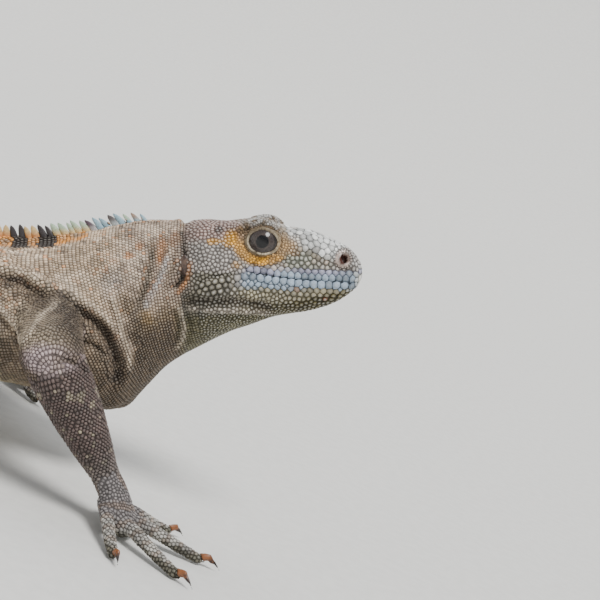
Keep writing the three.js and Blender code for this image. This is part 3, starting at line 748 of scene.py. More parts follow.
def paint_head(paint, where):
    """Crown, snout, lips, jaw and throat, then the bare skin of the lids and nostrils."""
    x, y, z = paint.fore.T
    out = np.abs(y)
    paint.over(HEAD_GREY, where)
    paint.over(CROWN_TAUPE, where * ease(13.5, 17, z) * ease(-5, -9, x))
    paint.over(linear(122, 113, 106), where * ease(17, 19, z) * ease(-9, -5, x) * ease(8, 4, x) * 0.7)
    paint.over(SNOUT_SIDE, where * ease(7, 12, x) * ease(3, 5, z) * (0.8 + 0.2 * paint.mottle))
    paint.over(SNOUT_GREEN, where * ease(8, 11, x) * ease(24, 18, x) * ease(11.5, 9, z) * ease(3, 5, z) * 0.8)
    paint.over(RUST, where * bump(x, 17, 9) * bump(z, 8.0, 4.0) * 0.5 * ease(0.15, 0.6, paint.grit))
    paint.over(OLIVE_BROWN, where * bump(x, 19, 9) * bump(z, 9.5, 4.0) * 0.5 * ease(0.1, 0.6, -paint.fleck))
    paint.over(SNOUT_PALE, where * ease(3, 12, x + 3 * paint.mottle)
               * ease(-6.5, -4, snout_top(paint.fore, 24.6) + paint.mottle))
    paint.over(linear(118, 110, 104), where * ease(31, 34, x) * ease(3, 5, z) * 0.6)
    paint.over(SNOUT_PALE, where * bump(x, 1.0, 7.5) * ease(20.5, 22, z) * 0.8)
    ring = lid_ring(paint.fore)
    below = ease(14, 10, z + 0.35 * (x - 2))
    paint.over(GOLD, where * ease(7, 8.5, out) * ease(2.35, 1.9, ring) * (0.35 + 0.6 * below)
               * ease(12, 9, x) * ease(18.5, 16, z - 4 * ease(-4, -8, x)) * (0.8 + 0.35 * paint.mottle))
    # Darker brown mottle above the eye: partly mottled skin, partly the brow's painted shadow.
    paint.over(linear(96, 82, 66), where * ease(16.0, 18.5, z) * ease(2.8, 2.2, ring)
               * np.clip(0.45 + 0.9 * paint.fleck, 0, 1))
    paint.over(linear(152, 134, 110), where * ease(1.9, 1.6, ring) * bump(x, 9.5, 2.2) * 0.7)
    jaw = ease(3.4, 2.6, z + 0.03 * x)
    paint.over(LIP_LAVENDER, where * ease(5.2, 4.0, z + 0.05 * x) * ease(-8, -4, x) * 0.85)
    paint.over(LIP_BLUE, where * jaw * ease(-10, -4, x))
    paint.over(JAW_TAN, where * ease(-2.6, -3.4, z + 0.05 * x) * ease(-14, -6, x) * 0.9)
    paint.over(linear(108, 104, 94), where * jaw * ease(-6, -12, x))
    paint.over(CHIN_OLIVE, where * ease(1.4, -0.8, z + 10.7 - 0.17 * x) * ease(-16, -8, x))
    paint.over(CHALK, where * ease(35.5, 37.5, x) * jaw * 0.8)
    paint.over(linear(112, 102, 96), where * ease(-23, -28, x) * 0.6 * ease(-6, -3, z))
    paint.over(THROAT_OLIVE, where * ease(-12.5, -14.5, z) * ease(6, -4, x) * 0.8)
    # Lids and nostrils are bare skin with their own colours.
    lids = where * (out > 6)
    paint.over(linear(96, 80, 62), lids * ease(1.42, 1.36, ring) * 0.85)
    paint.over(linear(142, 131, 114), lids * ease(1.32, 1.26, ring))
    paint.over(linear(100, 90, 74), lids * bump(ring, 1.16, 0.03))
    paint.over(linear(182, 172, 154), lids * bump(ring, 1.07, 0.045))
    # Painted shadow of the brow on the upper lid.
    paint.over(linear(84, 72, 58), lids * ease(1.55, 1.05, ring) * ease(16.0, 19.0, z - 0.2 * x) * 0.55)
    # Painted shade at the edge of the lids' opening.
    paint.over(FOLD_SHADE, lids * ease(1.02, 0.97, ring))
    nose = np.hypot((x - NOSTRIL[0]) / NOSTRIL_HALF[0], (z - NOSTRIL[2]) / NOSTRIL_HALF[1])
    beside = where * (out > 2.5)
    # Painted shade in the groove round the nostril's raised rim.
    paint.over(linear(84, 72, 66), beside * bump(nose, 1.75, 0.22) * 0.8)
    paint.over(linear(188, 172, 164), beside * bump(nose, 1.3, 0.28))
    paint.over(NOSTRIL_RED, beside * ease(1.05, 0.8, nose))


def limb_shares(points, name):
    """A limb's axis, and the share of its length at which each point lies."""
    middle, run, start, end = limb_axis(name)
    return (middle, run, start, end), ((points - middle) @ run - start) / (end - start)


def paint_limbs(paint):
    """Mottled upper limbs, dark lower ones with cream dots, a painted lilac sheen on the elbows and knees,
    and banded digits.
    """
    points = paint.points
    x, _, z = paint.fore.T
    for side in SIDES:
        for upper, lower, foot in (("upper_arm", "forearm", "hand"), ("thigh", "shin", "foot")):
            own = paint.on([f"{upper}_{side}"])
            _, along = limb_shares(points, f"{upper}_{side}")
            paint.over(FLANK_GREY, own * (0.75 + 0.25 * paint.mottle))
            paint.over(DARK_MARK, own * 0.6 * ease(0.15, 0.5, paint.drawn))
            paint.over(PALE_SAND, own * 0.4 * ease(0.25, 0.6, -paint.drawn))
            low = ease(-17, -21, z) if upper == "upper_arm" else ease(0.55, 0.8, along)
            paint.over(ARM_BROWN, own * low)
            if upper == "upper_arm":
                dark = bump(x, -66, 8) * bump(z, -20, 9)
                paint.over(CHEST_BROWN, own * dark * 0.35)
            shank = paint.on([f"{lower}_{side}"])
            (middle, run, start, end), along = limb_shares(points, f"{lower}_{side}")
            paint.over(FOREARM_PURPLE, shank)
            dots = ease(0.4, 0.65, lattice_noise(points, 2.0, 9))
            paint.over(CREAM_DOT, shank * dots * 0.6)
            bend = np.linalg.norm(points - middle - run * start, axis=1) + 3 * paint.mottle
            knee = ease(16, 7, bend)
            if upper == "upper_arm":
                knee = np.hypot((x + 70) / 10, (z + 21.5) / 6)
                knee = ease(1.25, 0.5, knee + 0.2 * paint.mottle)
            # A painted lilac sheen, a highlight on the elbow or knee.
            paint.over(LILAC_SHEEN, np.maximum(own, shank) * knee * (0.75 + 0.3 * paint.mottle))
            paint.over(linear(96, 90, 87), shank * ease(0.65, 0.95, along))
            hand = paint.on([f"{foot}_{side}"])
            paint.over(HAND_GREY, hand)
            wrist = middle + run * end
            away = np.linalg.norm(points - wrist, axis=1)
            paint.over(DIGIT_PALE, hand * ease(14, 22, away) * (0.75 + 0.35 * paint.mottle))
            paint.over(linear(120, 104, 92), hand * ease(0.35, 0.7, np.sin(away * 1.15)) * 0.5)
            # Darker towards the floor: painted shade on the sides and undersides of the digits.
            paint.over(linear(66, 63, 52), hand * ease(5.0, 3.3, points[:, 2] + 0.6 * paint.fleck) * 0.92)


def paint_tail(paint, height):
    """Dark and tan bands that come closer together towards the tip."""
    own = paint.on(TAIL)
    distance = np.zeros(len(own))
    distance[own > 0] = tail_distance(paint.points[own > 0])
    band = ease(-0.25, 0.35, np.cos(math.tau * (distance + 2.5 * paint.broad) / (24 - distance / 60)))
    paint.over(TAIL_TAN, own)
    paint.over(TAIL_DARK, own * band * (0.85 + 0.3 * paint.mottle))
    paint.over(TAIL_DARK, own * ease(300, 560, distance) * 0.5)
    paint.over(BELLY_CREAM, own * ease(-0.5, -0.9, height) * 0.7)


def tail_distance(points):
    """How far along the tail each point is, in mm."""
    line = TAIL_ROWS[:, :2]
    nearest = np.argmin((points[:, None, 0] - line[None, :, 0]) ** 2
                        + (points[:, None, 1] - line[None, :, 1]) ** 2, axis=1)
    heading = TAIL_ROWS[nearest, 2]
    offset = points[:, :2] - line[nearest]
    past = -offset[:, 0] * np.cos(heading) + offset[:, 1] * np.sin(heading)
    return nearest * TAIL_LENGTH / TAIL_STEPS + past


BATCH = 20000  # points handled at a time


def body_height(points):
    """Height on the trunk and tail, from -1 at the belly to 1 on the back."""
    height = np.empty(len(points))
    for start in range(0, len(points), BATCH):
        some = points[start:start + BATCH]
        nearest = np.argmin(np.abs(some[:, None, 0] - BODY_MIDDLES[None, :, 0])
                            + 0.8 * np.abs(some[:, None, 2] - BODY_MIDDLES[None, :, 2])
                            + np.abs(some[:, None, 1] * 0.2), axis=1)
        offset = some - BODY_MIDDLES[nearest]
        height[start:start + BATCH] = (offset @ FORE_UP * ease(70, 100, some[:, 0])
                                       + offset[:, 2] * ease(100, 70, some[:, 0])) / BODY_HALVES[nearest]
    return height


RICHNESS = 1.4  # how much further from grey the finished colours are


def markings(points, parts):
    """The colour at each point, in linear light: the animal's markings, with painted shade in its folds and
    grooves and a painted sheen on elbows and knees.
    """
    paint = Paint(points, parts)
    height = body_height(points)
    head = ease(-31, -28, paint.fore[:, 0]) * paint.on(HEAD + ["neck"])
    paint_trunk(paint, height)
    paint_tail(paint, height)
    paint_head(paint, head)
    beside = paint.on(SHOULDER) * ease(5, 8, np.abs(points[:, 1]))
    paint_limbs(paint)
    for ahead, up, length, tall, color, strength in SPOTS:
        away = np.hypot((paint.fore[:, 0] - ahead) / length, (paint.fore[:, 2] - up) / tall)
        ragged = away + 0.28 * paint.mottle + 0.14 * paint.fleck
        paint.over(color, beside * strength * (1 - ease(0.35, 1.2, ragged)))
    paint.along(LINES, beside)
    paint.along(ARM_LINES, paint.on(RIGHT_ARM) * (points[:, 1] < -12))
    tone = 1 + 0.12 * paint.broad + 0.16 * paint.mottle + 0.12 * paint.fleck
    colors = paint.colors * tone[:, None]
    grey = colors.mean(axis=1, keepdims=True)
    return np.clip(grey + RICHNESS * (colors - grey), 0.004, 1)


# ---- Materials ----

def put(tree, value, socket):
    """Feeds a socket from another socket, or sets it to a plain value."""
    if isinstance(value, bpy.types.NodeSocket):
        tree.links.new(value, socket)
    else:
        socket.default_value = value


def add_node(tree, sort, inputs, **settings):
    """Adds a node with its settings, feeds its inputs, and gives its outputs."""
    node = tree.nodes.new("ShaderNode" + sort)
    for name, value in settings.items():
        setattr(node, name, value)
    for socket, value in inputs.items():
        put(tree, value, node.inputs[socket])
    return node.outputs


def noise(tree, scale, detail=3.0, roughness=0.55):
    """Noise over the object's own coordinates."""
    place = add_node(tree, "TexCoord", {})["Object"]
    inputs = {"Vector": place, "Scale": scale, "Detail": detail, "Roughness": roughness}
    return add_node(tree, "TexNoise", inputs)["Fac"]


def band(tree, value, low, high, to_low=0.0, to_high=1.0):
    """A smooth step of a value between two limits."""
    inputs = {"Value": value, "From Min": low, "From Max": high, "To Min": to_low, "To Max": to_high}
    return add_node(tree, "MapRange", inputs, interpolation_type="SMOOTHSTEP")["Result"]


def graded(tree, grain, low, high):
    """A number that goes from low to high with the grain of a noise."""
    return band(tree, grain, 0.3, 0.7, low, high)


def maths(tree, operation, first, second):
    return add_node(tree, "Math", {0: first, 1: second}, operation=operation)["Value"]


def blend(tree, share, first, second):
    """Two colours mixed by a share."""
    return add_node(tree, "Mix", {"Factor": share, 6: first, 7: second}, data_type="RGBA")[2]


def scaled(tree, color, factor):
    """A colour made lighter or darker by a factor."""
    return add_node(tree, "VectorMath", {0: color, "Scale": factor}, operation="SCALE")["Vector"]


def attribute(tree, name, output="Fac"):
    return add_node(tree, "Attribute", {}, attribute_name=name)[output]


def scale_finish_group():
    """Colour, roughness and height of one scale: a painted highlight on its pale crown and painted shade on
    its dark rim, in the gap between scales.
    """
    group = bpy.data.node_groups.new("scale_finish", "ShaderNodeTree")
    for label, value in (("Marking", (0.3, 0.3, 0.3, 1)), ("Rim", 0.0), ("Rim shade", 0.7),
                         ("Crown highlight", 0.25), ("Roughness", 0.5), ("Grain", 900.0)):
        sort = "NodeSocketColor" if label == "Marking" else "NodeSocketFloat"
        group.interface.new_socket(label, in_out="INPUT", socket_type=sort).default_value = value
    for label in ("Color", "Roughness", "Height"):
        sort = "NodeSocketColor" if label == "Color" else "NodeSocketFloat"
        group.interface.new_socket(label, in_out="OUTPUT", socket_type=sort)
    given = group.nodes.new("NodeGroupInput").outputs
    leave = group.nodes.new("NodeGroupOutput")
    grain = noise(group, given["Grain"], 4.0)
    pores = noise(group, 4200.0, 2.0, 0.7)
    tone = graded(group, grain, 0.84, 1.16)
    color = scaled(group, given["Marking"], tone)
    # Painted highlight: the crown is paled towards light grey.
    worn = maths(group, "MULTIPLY", band(group, given["Rim"], 0.0, 0.45, 1.0, 0.0), given["Crown highlight"])
    color = blend(group, worn, color, (0.78, 0.77, 0.74, 1))
    # Painted shade: the rim is darkened nearly to black, as the gap between scales.
    rim_shade = maths(group, "MULTIPLY", band(group, given["Rim"], 0.45, 0.95), given["Rim shade"])
    color = blend(group, rim_shade, color, scaled(group, given["Marking"], 0.12))
    group.links.new(color, leave.inputs["Color"])
    rough = maths(group, "ADD", given["Roughness"], band(group, given["Rim"], 0.3, 0.9, 0.0, 0.22))
    rough = maths(group, "ADD", rough, graded(group, grain, -0.06, 0.06))
    group.links.new(rough, leave.inputs["Roughness"])
    group.links.new(maths(group, "ADD", grain, maths(group, "MULTIPLY", pores, 0.4)),
                    leave.inputs["Height"])
    return group


def new_material(name):
    material = bpy.data.materials.new(name)
    material.use_nodes = True
    tree = material.node_tree
    return material, tree, tree.nodes["Principled BSDF"]


def add_bump(tree, shader, height, distance, strength=0.5):
    """Bumps as deep as distance, in metres."""
    inputs = {"Strength": strength, "Distance": distance, "Height": height}
    tree.links.new(add_node(tree, "Bump", inputs)["Normal"], shader.inputs["Normal"])


def add_grain(tree, shader, color, grain, roughness, bump_depth):
    """Colour, and a roughness between two limits and fine bumps that follow the grain."""
    tree.links.new(color, shader.inputs["Base Color"])
    tree.links.new(graded(tree, grain, *roughness), shader.inputs["Roughness"])
    add_bump(tree, shader, grain, bump_depth)


SCALE_FINISH = scale_finish_group()
# Each scale's marking, its rim, the painted shade of its rim and the painted highlight of its crown.
SCALE_INPUTS = [("Marking", "marking", "Color"), ("Rim", "rim", "Fac"), ("Rim shade", "gap", "Fac"),
                ("Crown highlight", "worn", "Fac")]


def scale_material(name, roughness, grain, specular):
    """Horny scales that carry the animal's markings."""
    material, tree, shader = new_material(name)
    finish = tree.nodes.new("ShaderNodeGroup")
    finish.node_tree = SCALE_FINISH
    for socket, name_of_values, output in SCALE_INPUTS:
        tree.links.new(attribute(tree, name_of_values, output), finish.inputs[socket])
    finish.inputs["Roughness"].default_value = roughness
    finish.inputs["Grain"].default_value = grain
    tree.links.new(finish.outputs["Color"], shader.inputs["Base Color"])
    tree.links.new(finish.outputs["Roughness"], shader.inputs["Roughness"])
    add_bump(tree, shader, finish.outputs["Height"], 0.00006)
    shader.inputs["Specular IOR Level"].default_value = specular
    return material


def skin_material():
    """Soft skin between the scales, darker than they are with painted shade in the gaps over its own darker
    colour, and bare on the lids and nostrils.
    """
    material, tree, shader = new_material("skin")
    marking = attribute(tree, "marking", "Color")
    bare_share = attribute(tree, "bare")
    wrinkle = noise(tree, 1600.0, 5.0, 0.65)
    tone = graded(tree, wrinkle, 0.85, 1.15)
    # Off the bare lids and nostrils the colour drops to about a third: painted shade in the gaps between
    # scales, over the skin's darker colour.
    depth = band(tree, bare_share, 0.0, 1.0, 0.35, 1.0)
    color = scaled(tree, marking, maths(tree, "MULTIPLY", tone, depth))
    tree.links.new(color, shader.inputs["Base Color"])
    tree.links.new(band(tree, bare_share, 0.0, 1.0, 0.75, 0.48), shader.inputs["Roughness"])
    add_bump(tree, shader, wrinkle, 0.00008, 0.6)
    return material


def eye_material():
    """A dark brown iris with fine rays round a black pupil, under a wet cornea."""
    material, tree, shader = new_material("eye")
    away = attribute(tree, "from_pupil")
    rays = noise(tree, 2600.0, 4.0, 0.7)
    flecks = noise(tree, 700.0, 2.0)
    iris = blend(tree, band(tree, rays, 0.35, 0.65), (0.028, 0.021, 0.020, 1), (0.066, 0.053, 0.050, 1))
    iris = blend(tree, band(tree, flecks, 0.5, 0.7, 0.0, 0.5), iris, (0.085, 0.067, 0.058, 1))
    ring = maths(tree, "MULTIPLY", band(tree, away, 2.4, 2.75), band(tree, away, 3.3, 2.9))
    iris = blend(tree, maths(tree, "MULTIPLY", ring, 0.2), iris, (0.10, 0.075, 0.058, 1))
    iris = blend(tree, band(tree, away, 4.3, 5.2), iris, (0.02, 0.016, 0.015, 1))
    color = blend(tree, band(tree, away, 2.25, 2.5), (0.004, 0.004, 0.005, 1), iris)
    tree.links.new(color, shader.inputs["Base Color"])
    tree.links.new(graded(tree, rays, 0.16, 0.24), shader.inputs["Roughness"])
    shader.inputs["Specular IOR Level"].default_value = 0.2
    shader.inputs["Coat Weight"].default_value = 0.5
    shader.inputs["Coat Roughness"].default_value = 0.03
    return material


def claw_material():
    """Horn, orange-brown at the root and black along the ridge and tip."""
    material, tree, shader = new_material("claw")
    along = attribute(tree, "along")
    fibre = noise(tree, 1300.0, 3.0)
    shifted = maths(tree, "ADD", along, graded(tree, fibre, -0.12, 0.12))
    color = blend(tree, band(tree, shifted, 0.2, 0.65), (0.24, 0.085, 0.028, 1), (0.016, 0.010, 0.008, 1))
    color = blend(tree, band(tree, along, 0.12, 0.0, 0.0, 0.7), color, (0.16, 0.11, 0.075, 1))
    add_grain(tree, shader, color, fibre, (0.28, 0.42), 0.00005)
    return material


def eardrum_material():
    """A thin dull membrane, reddish brown with paler veins."""
    material, tree, shader = new_material("eardrum")
    veins = noise(tree, 520.0, 5.0, 0.7)
    color = blend(tree, band(tree, veins, 0.38, 0.62), (0.045, 0.026, 0.020, 1), (0.12, 0.075, 0.055, 1))
    add_grain(tree, shader, color, veins, (0.36, 0.5), 0.0001)
    return material


def crest_material():
    """Horny blades, each in its own marking, with fine streaks."""
    material, tree, shader = new_material("crest")
    streaks = noise(tree, 1500.0, 3.0)
    color = scaled(tree, attribute(tree, "marking", "Color"), graded(tree, streaks, 0.82, 1.15))
    add_grain(tree, shader, color, streaks, (0.38, 0.52), 0.00005)
    return material


# For each place: roughness, how fine the grain is, and how strong the gloss.
SCALE_LOOKS = [("head", 0.44, 1100.0, 0.5), ("back", 0.52, 900.0, 0.4), ("belly", 0.50, 700.0, 0.4),
               ("limb", 0.50, 900.0, 0.45), ("tail", 0.50, 700.0, 0.45)]
SCALE_MATERIALS = {f"skin_{place}": scale_material(f"scales_{place}", *looks)
                   for place, *looks in SCALE_LOOKS}
SKIN_MATERIAL = skin_material()
EYE_MATERIAL = eye_material()
CLAW_MATERIAL = claw_material()
EARDRUM_MATERIAL = eardrum_material()
CREST_MATERIAL = crest_material()


# ---- Pieces ----

def finish_piece(name, mesh, material, replaced=()):
    """Makes a mesh a shown piece: it rides on the one body and stands for its solids."""
    piece = add_object(name, mesh)
    mesh.materials.append(material)
    mesh.polygons.foreach_set("use_smooth", [True] * len(mesh.polygons))
    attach(piece, "root")
    if replaced:
        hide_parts(*replaced)


def point_values(mesh, name, values):
    """Stores one number for each vertex."""
    attribute = mesh.attributes.new(name, "FLOAT", "POINT")
    attribute.data.foreach_set("value", np.asarray(values, np.float32))


def point_colors(mesh, colors):
    """Stores one marking colour, in linear light, for each vertex."""
    attribute = mesh.color_attributes.new("marking", "FLOAT_COLOR", "POINT")
    rows = np.ones((len(mesh.vertices), 4), np.float32)
    rows[:, :3] = colors
    attribute.data.foreach_set("color", rows.ravel())


# ---- Eyes ----

CORNEA_BULGE = 0.45  # how far the cornea stands out, in mm
CORNEA_RADIUS = 4.2


def build_eye(side, sign):
    """A round eyeball with a low cornea, its pole on the middle of the lids' opening."""
    centre = EYEBALL * (1, sign, 1)
    gaze = np.array([LID_CENTRE[0], 0, LID_CENTRE[1]]) - centre
    gaze[1] = sign * math.sqrt(EYE_RADIUS ** 2 - gaze[0] ** 2 - gaze[2] ** 2)
    turn = Vector(gaze).to_track_quat("Z", "X").to_matrix()
    form = bmesh.new()
    bmesh.ops.create_uvsphere(form, u_segments=56, v_segments=44, radius=1)
    away = []
    for vertex in form.verts:
        angle = math.acos(max(-1, min(1, vertex.co.z)))
        away.append(angle * EYE_RADIUS)
        swell = CORNEA_BULGE * float(bump(angle * EYE_RADIUS, 0, CORNEA_RADIUS))
        place = np.array(turn @ vertex.co) * (EYE_RADIUS + swell) + centre
        vertex.co = Vector(from_fore(place[None])[0] * MM)
    mesh = mesh_of(form, f"eye_{side}")
    point_values(mesh, "from_pupil", away)
    finish_piece(f"eyeball_{side}", mesh, EYE_MATERIAL, [f"eye_{side}"])


# ---- Claws and eardrums: smooth copies of their solids ----

CLAW_STOUTER = 1.38  # how much thicker a claw is than its solid
CLAW_LONGER = 0.25


def smooth_copy(names, voxel, rounds, swell):
    """The named solids remeshed finely and smoothed, and moved out by swell."""
    mesh = remeshed(joined_solids(names), voxel)
    points = relax(coordinates(mesh), edge_pairs(mesh), np.full(len(mesh.vertices), 0.6), rounds)
    set_coordinates(mesh, points)
    set_coordinates(mesh, points + vertex_normals(mesh) * swell)
    return mesh


def points_along(line, share, along):
    """Points of a line, whose own points lie at the given shares, at other shares of it."""
    return np.stack([np.interp(along, share, column) for column in line.T], axis=1)


def stouter(points, along):
    """A claw a third thicker and a quarter longer than its solid, from the same root."""
    share = np.linspace(0, 1, 9)
    line = np.array([points[np.abs(along - at) < 0.12].mean(axis=0) for at in share])
    middle = points_along(line, share, along)
    longer = (line[-1] - line[0]) * np.array([CLAW_LONGER, CLAW_LONGER, 0])
    for _ in range(4):
        line[1:-1] = (line[:-2] + 2 * line[1:-1] + line[2:]) / 4
    curve = points_along(line, share, along)
    points = curve + (points - middle) * CLAW_STOUTER + (along[:, None] - 0.4) * longer
    points[:, 2] = np.maximum(points[:, 2], 0.05)
    return points


def build_claws(pair, side, shank, foot):
    """The five claws of one foot; along is 0 at each claw's root and 1 at its tip."""
    names = [f"claw_{pair}_{side}_{number}" for number in range(1, 6)]
    mesh = smooth_copy(names, 0.26, 7, 0.12)
    points = coordinates(mesh)
    corners = [*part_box(f"{shank}_{side}"), *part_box(f"{foot}_{side}")]
    wrist = sum(np.array(corner) for corner in corners) / 4 / MM
    along = np.zeros(len(points))
    for name in names:
        low, high = (np.array(corner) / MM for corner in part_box(name))
        inside = np.all((points > low - 1) & (points < high + 1), axis=1)
        reach = np.linalg.norm(points[inside] - wrist, axis=1)
        along[inside] = (reach - reach.min()) / max(np.ptp(reach), 1e-6)
        points[inside] = stouter(points[inside], along[inside])
    set_coordinates(mesh, points)
    point_values(mesh, "along", along)
    finish_piece(f"claws_{pair}_{side}", mesh, CLAW_MATERIAL, names)


def build_eardrum(side):
    mesh = smooth_copy([f"ear_{side}"], 0.4, 10, -0.35)
    finish_piece(f"eardrum_{side}", mesh, EARDRUM_MATERIAL, [f"ear_{side}"])


# ---- Crest: one row of leaning blades along the back ----

CREST_START = 118.5  # forward place of the first spine
CREST_END = -118.0
SPINE_ROOT = 0.9  # how deep a spine's foot lies
SPINE_THICKNESS = 1.3
SPINE_SPACING = (2.85, 3.5)  # first and last
# Forward places, and the spines' heights there.
SPINE_HEIGHT = [(120, 2.6), (112, 4.6), (100, 5.0), (60, 4.8), (0, 3.8), (-60, 2.6), (-118, 1.5)]


def build_spine(form, place, back, up, height, length, lean):
    """One blade: its front edge bulges forward on the way to the tip, and its rear edge is hollow."""
    levels = 7
    sides = 8
    rows = []
    across = np.cross(up, back)
    for level in range(levels):
        t = level / levels
        middle = place + up * (height * t - SPINE_ROOT) + back * (lean * height * t ** 1.4)
        half = 0.5 * length * (1 - t ** 2.4) ** 0.6 + 0.05
        thick = 0.5 * SPINE_THICKNESS * (1 - t ** 1.6) + 0.09
        row = []
        for corner in range(sides):
            angle = math.tau * corner / sides
            spot = middle + back * (half * math.cos(angle)) + across * (thick * math.sin(angle))
            row.append(form.verts.new(spot * MM))
        rows.append(row)
    tip = form.verts.new((place + up * (height - SPINE_ROOT) + back * (lean * height + 0.1)) * MM)
    after = [*range(1, sides), 0]
    for lower, upper in zip(rows, rows[1:]):
        for corner in range(sides):
            form.faces.new((lower[corner], lower[after[corner]], upper[after[corner]], upper[corner]))
    for corner in range(sides):
        form.faces.new((rows[-1][corner], rows[-1][after[corner]], tip))
    form.faces.new(rows[0][::-1])
    return levels * sides + 1


def back_profile(tree):
    """The back's midline, smoothed over the lumps of the skin: forward places and heights."""
    forward = np.arange(CREST_END - 12.0, CREST_START + 8.0, 1.0)
    heights = np.empty(len(forward))
    for number, x in enumerate(forward):
        hit, _, _, _ = tree.ray_cast(Vector((x, 0, 200)) * MM, Vector((0, 0, -1)))
        heights[number] = hit.z / MM
    window = bump(np.arange(-12, 13), 0, 5.0)
    padded = np.pad(heights, 12, mode="reflect", reflect_type="odd")
    return forward, np.convolve(padded, window / window.sum(), mode="valid")


def crest_places(tree):
    """Each spine's foot on the midline of the back, its directions back and up, and its height."""
    forward, heights = back_profile(tree)
    slopes = np.gradient(heights, forward)
    places = []
    x = CREST_START
    while x > CREST_END:
        slope = np.interp(x, forward, slopes)
        back = -np.array([1.0, 0, slope]) / math.hypot(1, slope)
        up = np.array([-slope, 0, 1.0]) / math.hypot(1, slope)
        where, tall = zip(*SPINE_HEIGHT[::-1])
        number = len(places)
        height = np.interp(x, where, tall) * (1 + 0.08 * math.sin(number * 2.3))
        places.append((np.array([x, 0, np.interp(x, forward, heights)]), back, up, height))
        share = (CREST_START - x) / (CREST_START - CREST_END)
        spacing = SPINE_SPACING[0] + (SPINE_SPACING[1] - SPINE_SPACING[0]) * share
        x += back[0] * spacing * (1 + 0.10 * math.sin(number * 1.9))
    return places


# Colours of the foremost spines, at the root and at the tip.
PALE_BLUE = (146, 176, 190)
MINT = (170, 192, 166)
CREAM = (208, 178, 124)
EMBER = (196, 132, 78)
SOOT = (50, 44, 46)
SPINE_COLORS = [
    (PALE_BLUE, PALE_BLUE), (PALE_BLUE, (150, 128, 112)), ((130, 164, 184), MINT), (PALE_BLUE, PALE_BLUE),
    ((176, 184, 186), (84, 78, 78)), (PALE_BLUE, PALE_BLUE), (PALE_BLUE, PALE_BLUE),
    ((180, 176, 176), (78, 62, 72)),
]


def spine_colors(number, forward):
    """Root and tip of a spine: the foremost have their own colours, the rest their band's."""
    band = int(crest_band(forward)[0])
    if number < len(SPINE_COLORS):
        colors = SPINE_COLORS[number]
    elif band < 2:
        colors = (CREAM, MINT)
    else:
        colors = (EMBER, CREAM) if band % 2 else (SOOT, SOOT)
    return [linear(*color) for color in colors]


def build_crest(tree):
    """All the spines in one piece, coloured from root to tip."""
    form = bmesh.new()
    colors = []
    for number, (place, back, up, height) in enumerate(crest_places(tree)):
        length = 0.60 * height * (1 + 0.12 * math.sin(number * 1.7 + 1))
        lean = float(np.interp(place[0], [70, 100], [0.16, 0.5])) + 0.07 * math.sin(number * 2.9)
        count = build_spine(form, place, back, up, height + SPINE_ROOT, length, lean)
        root, end = spine_colors(number, place[0])
        fade = ease(0.25, 0.7, np.linspace(0, 1, count))
        colors.append(mix(root[None], end[None], fade))
    bmesh.ops.recalc_face_normals(form, faces=form.faces)
    mesh = mesh_of(form, "crest")
    point_colors(mesh, np.vstack(colors))
    finish_piece("crest", mesh, CREST_MATERIAL)


# ---- Where scales grow: rows round the body, its limbs and digits ----

# The trunk's rows lie in planes through these pairs of points on the back and the belly.
GIRTHS = [((133, 107), (159, 65)), ((125, 105), (154, 59)), ((117, 101), (149, 52)), ((108, 95), (146, 44)),
          ((99, 88), (143, 35)), ((88, 81), (139, 27)), ((69, 72), (97, 22)), ((42, 65), (64, 8)),
          ((6, 60), (21, 0)), ((-33, 57), (-24, 0)), ((-67, 51), (-64, 0)), ((-95, 44), (-95, 0)),
          ((-121, 37), (-121, 0))]
TAIL_LENGTH = 575.0
TAIL_STEPS = 60
TAIL_SWAY = math.radians(24)
ROW_RAYS = 240
CUBE = 3.0  # more than the widest two seeds need between them

# Kinds of scales.
PLAIN, SPINY, PLATE, BEAD = range(4)

# Spacing of the scales' seeds, in mm.
SPACING = {
    "head": 1.5, "lower_jaw": 1.6, "eye": 0.9, "ear": 1.3, "neck": 1.25, "chest": 1.32, "belly": 1.7,
    "pelvis": 1.8, "tail_1": 2.6, "tail_2": 2.4, "tail_3": 2.0, "tail_4": 1.7, "tail_5": 1.3,
    "upper_arm": 1.25, "forearm": 1.32, "hand": 1.1, "thigh": 1.7, "shin": 1.8, "foot": 1.3,
}


class Surface:
    """The sculpted skin, for casting rays and for finding points and normals on it."""

    def __init__(self, mesh, parts):
        self.points = coordinates(mesh)
        self.normals = vertex_normals(mesh)
        self.parts = parts
        self.faces = [list(face.vertices) for face in mesh.polygons]
        self.tree = BVHTree.FromPolygons([vertex.co for vertex in mesh.vertices], self.faces)

    def describe(self, face):
        """The skin's normal and part at a face."""
        corners = self.faces[face]
        return unit(self.normals[corners].sum(axis=0)), self.parts[corners[0]]

    def hit(self, start, direction, reach=80.0):
        """The point in mm, its normal and its part where a ray leaves the skin, or None."""
        place, _, face, _ = self.tree.ray_cast(Vector(start) * MM, Vector(direction), reach * MM)
        if place is None:
            return None
        return np.array(place) / MM, *self.describe(face)

    def nearest(self, point):
        place, _, face, _ = self.tree.find_nearest(Vector(point) * MM)
        return np.array(place) / MM, *self.describe(face)


class Crowd:
    """Seeds sorted into cubes, to tell where another one has room among them."""

    def __init__(self, closest):
        self.closest = closest  # least distance, as a share of the two sizes together
        self.cubes = {}

    def admits(self, point, size):
        """Takes the seed in if it has room, and says whether it had."""
        x, y, z = point
        i, j, k = int(x // CUBE), int(y // CUBE), int(z // CUBE)
        near = (other for di in (-1, 0, 1) for dj in (-1, 0, 1) for dk in (-1, 0, 1)
                for other in self.cubes.get((i + di, j + dj, k + dk), ()))
        if any((x - o[0]) ** 2 + (y - o[1]) ** 2 + (z - o[2]) ** 2 < (self.closest * (size + o[3])) ** 2
               for o in near):
            return False
        self.cubes.setdefault((i, j, k), []).append((x, y, z, size))
        return True


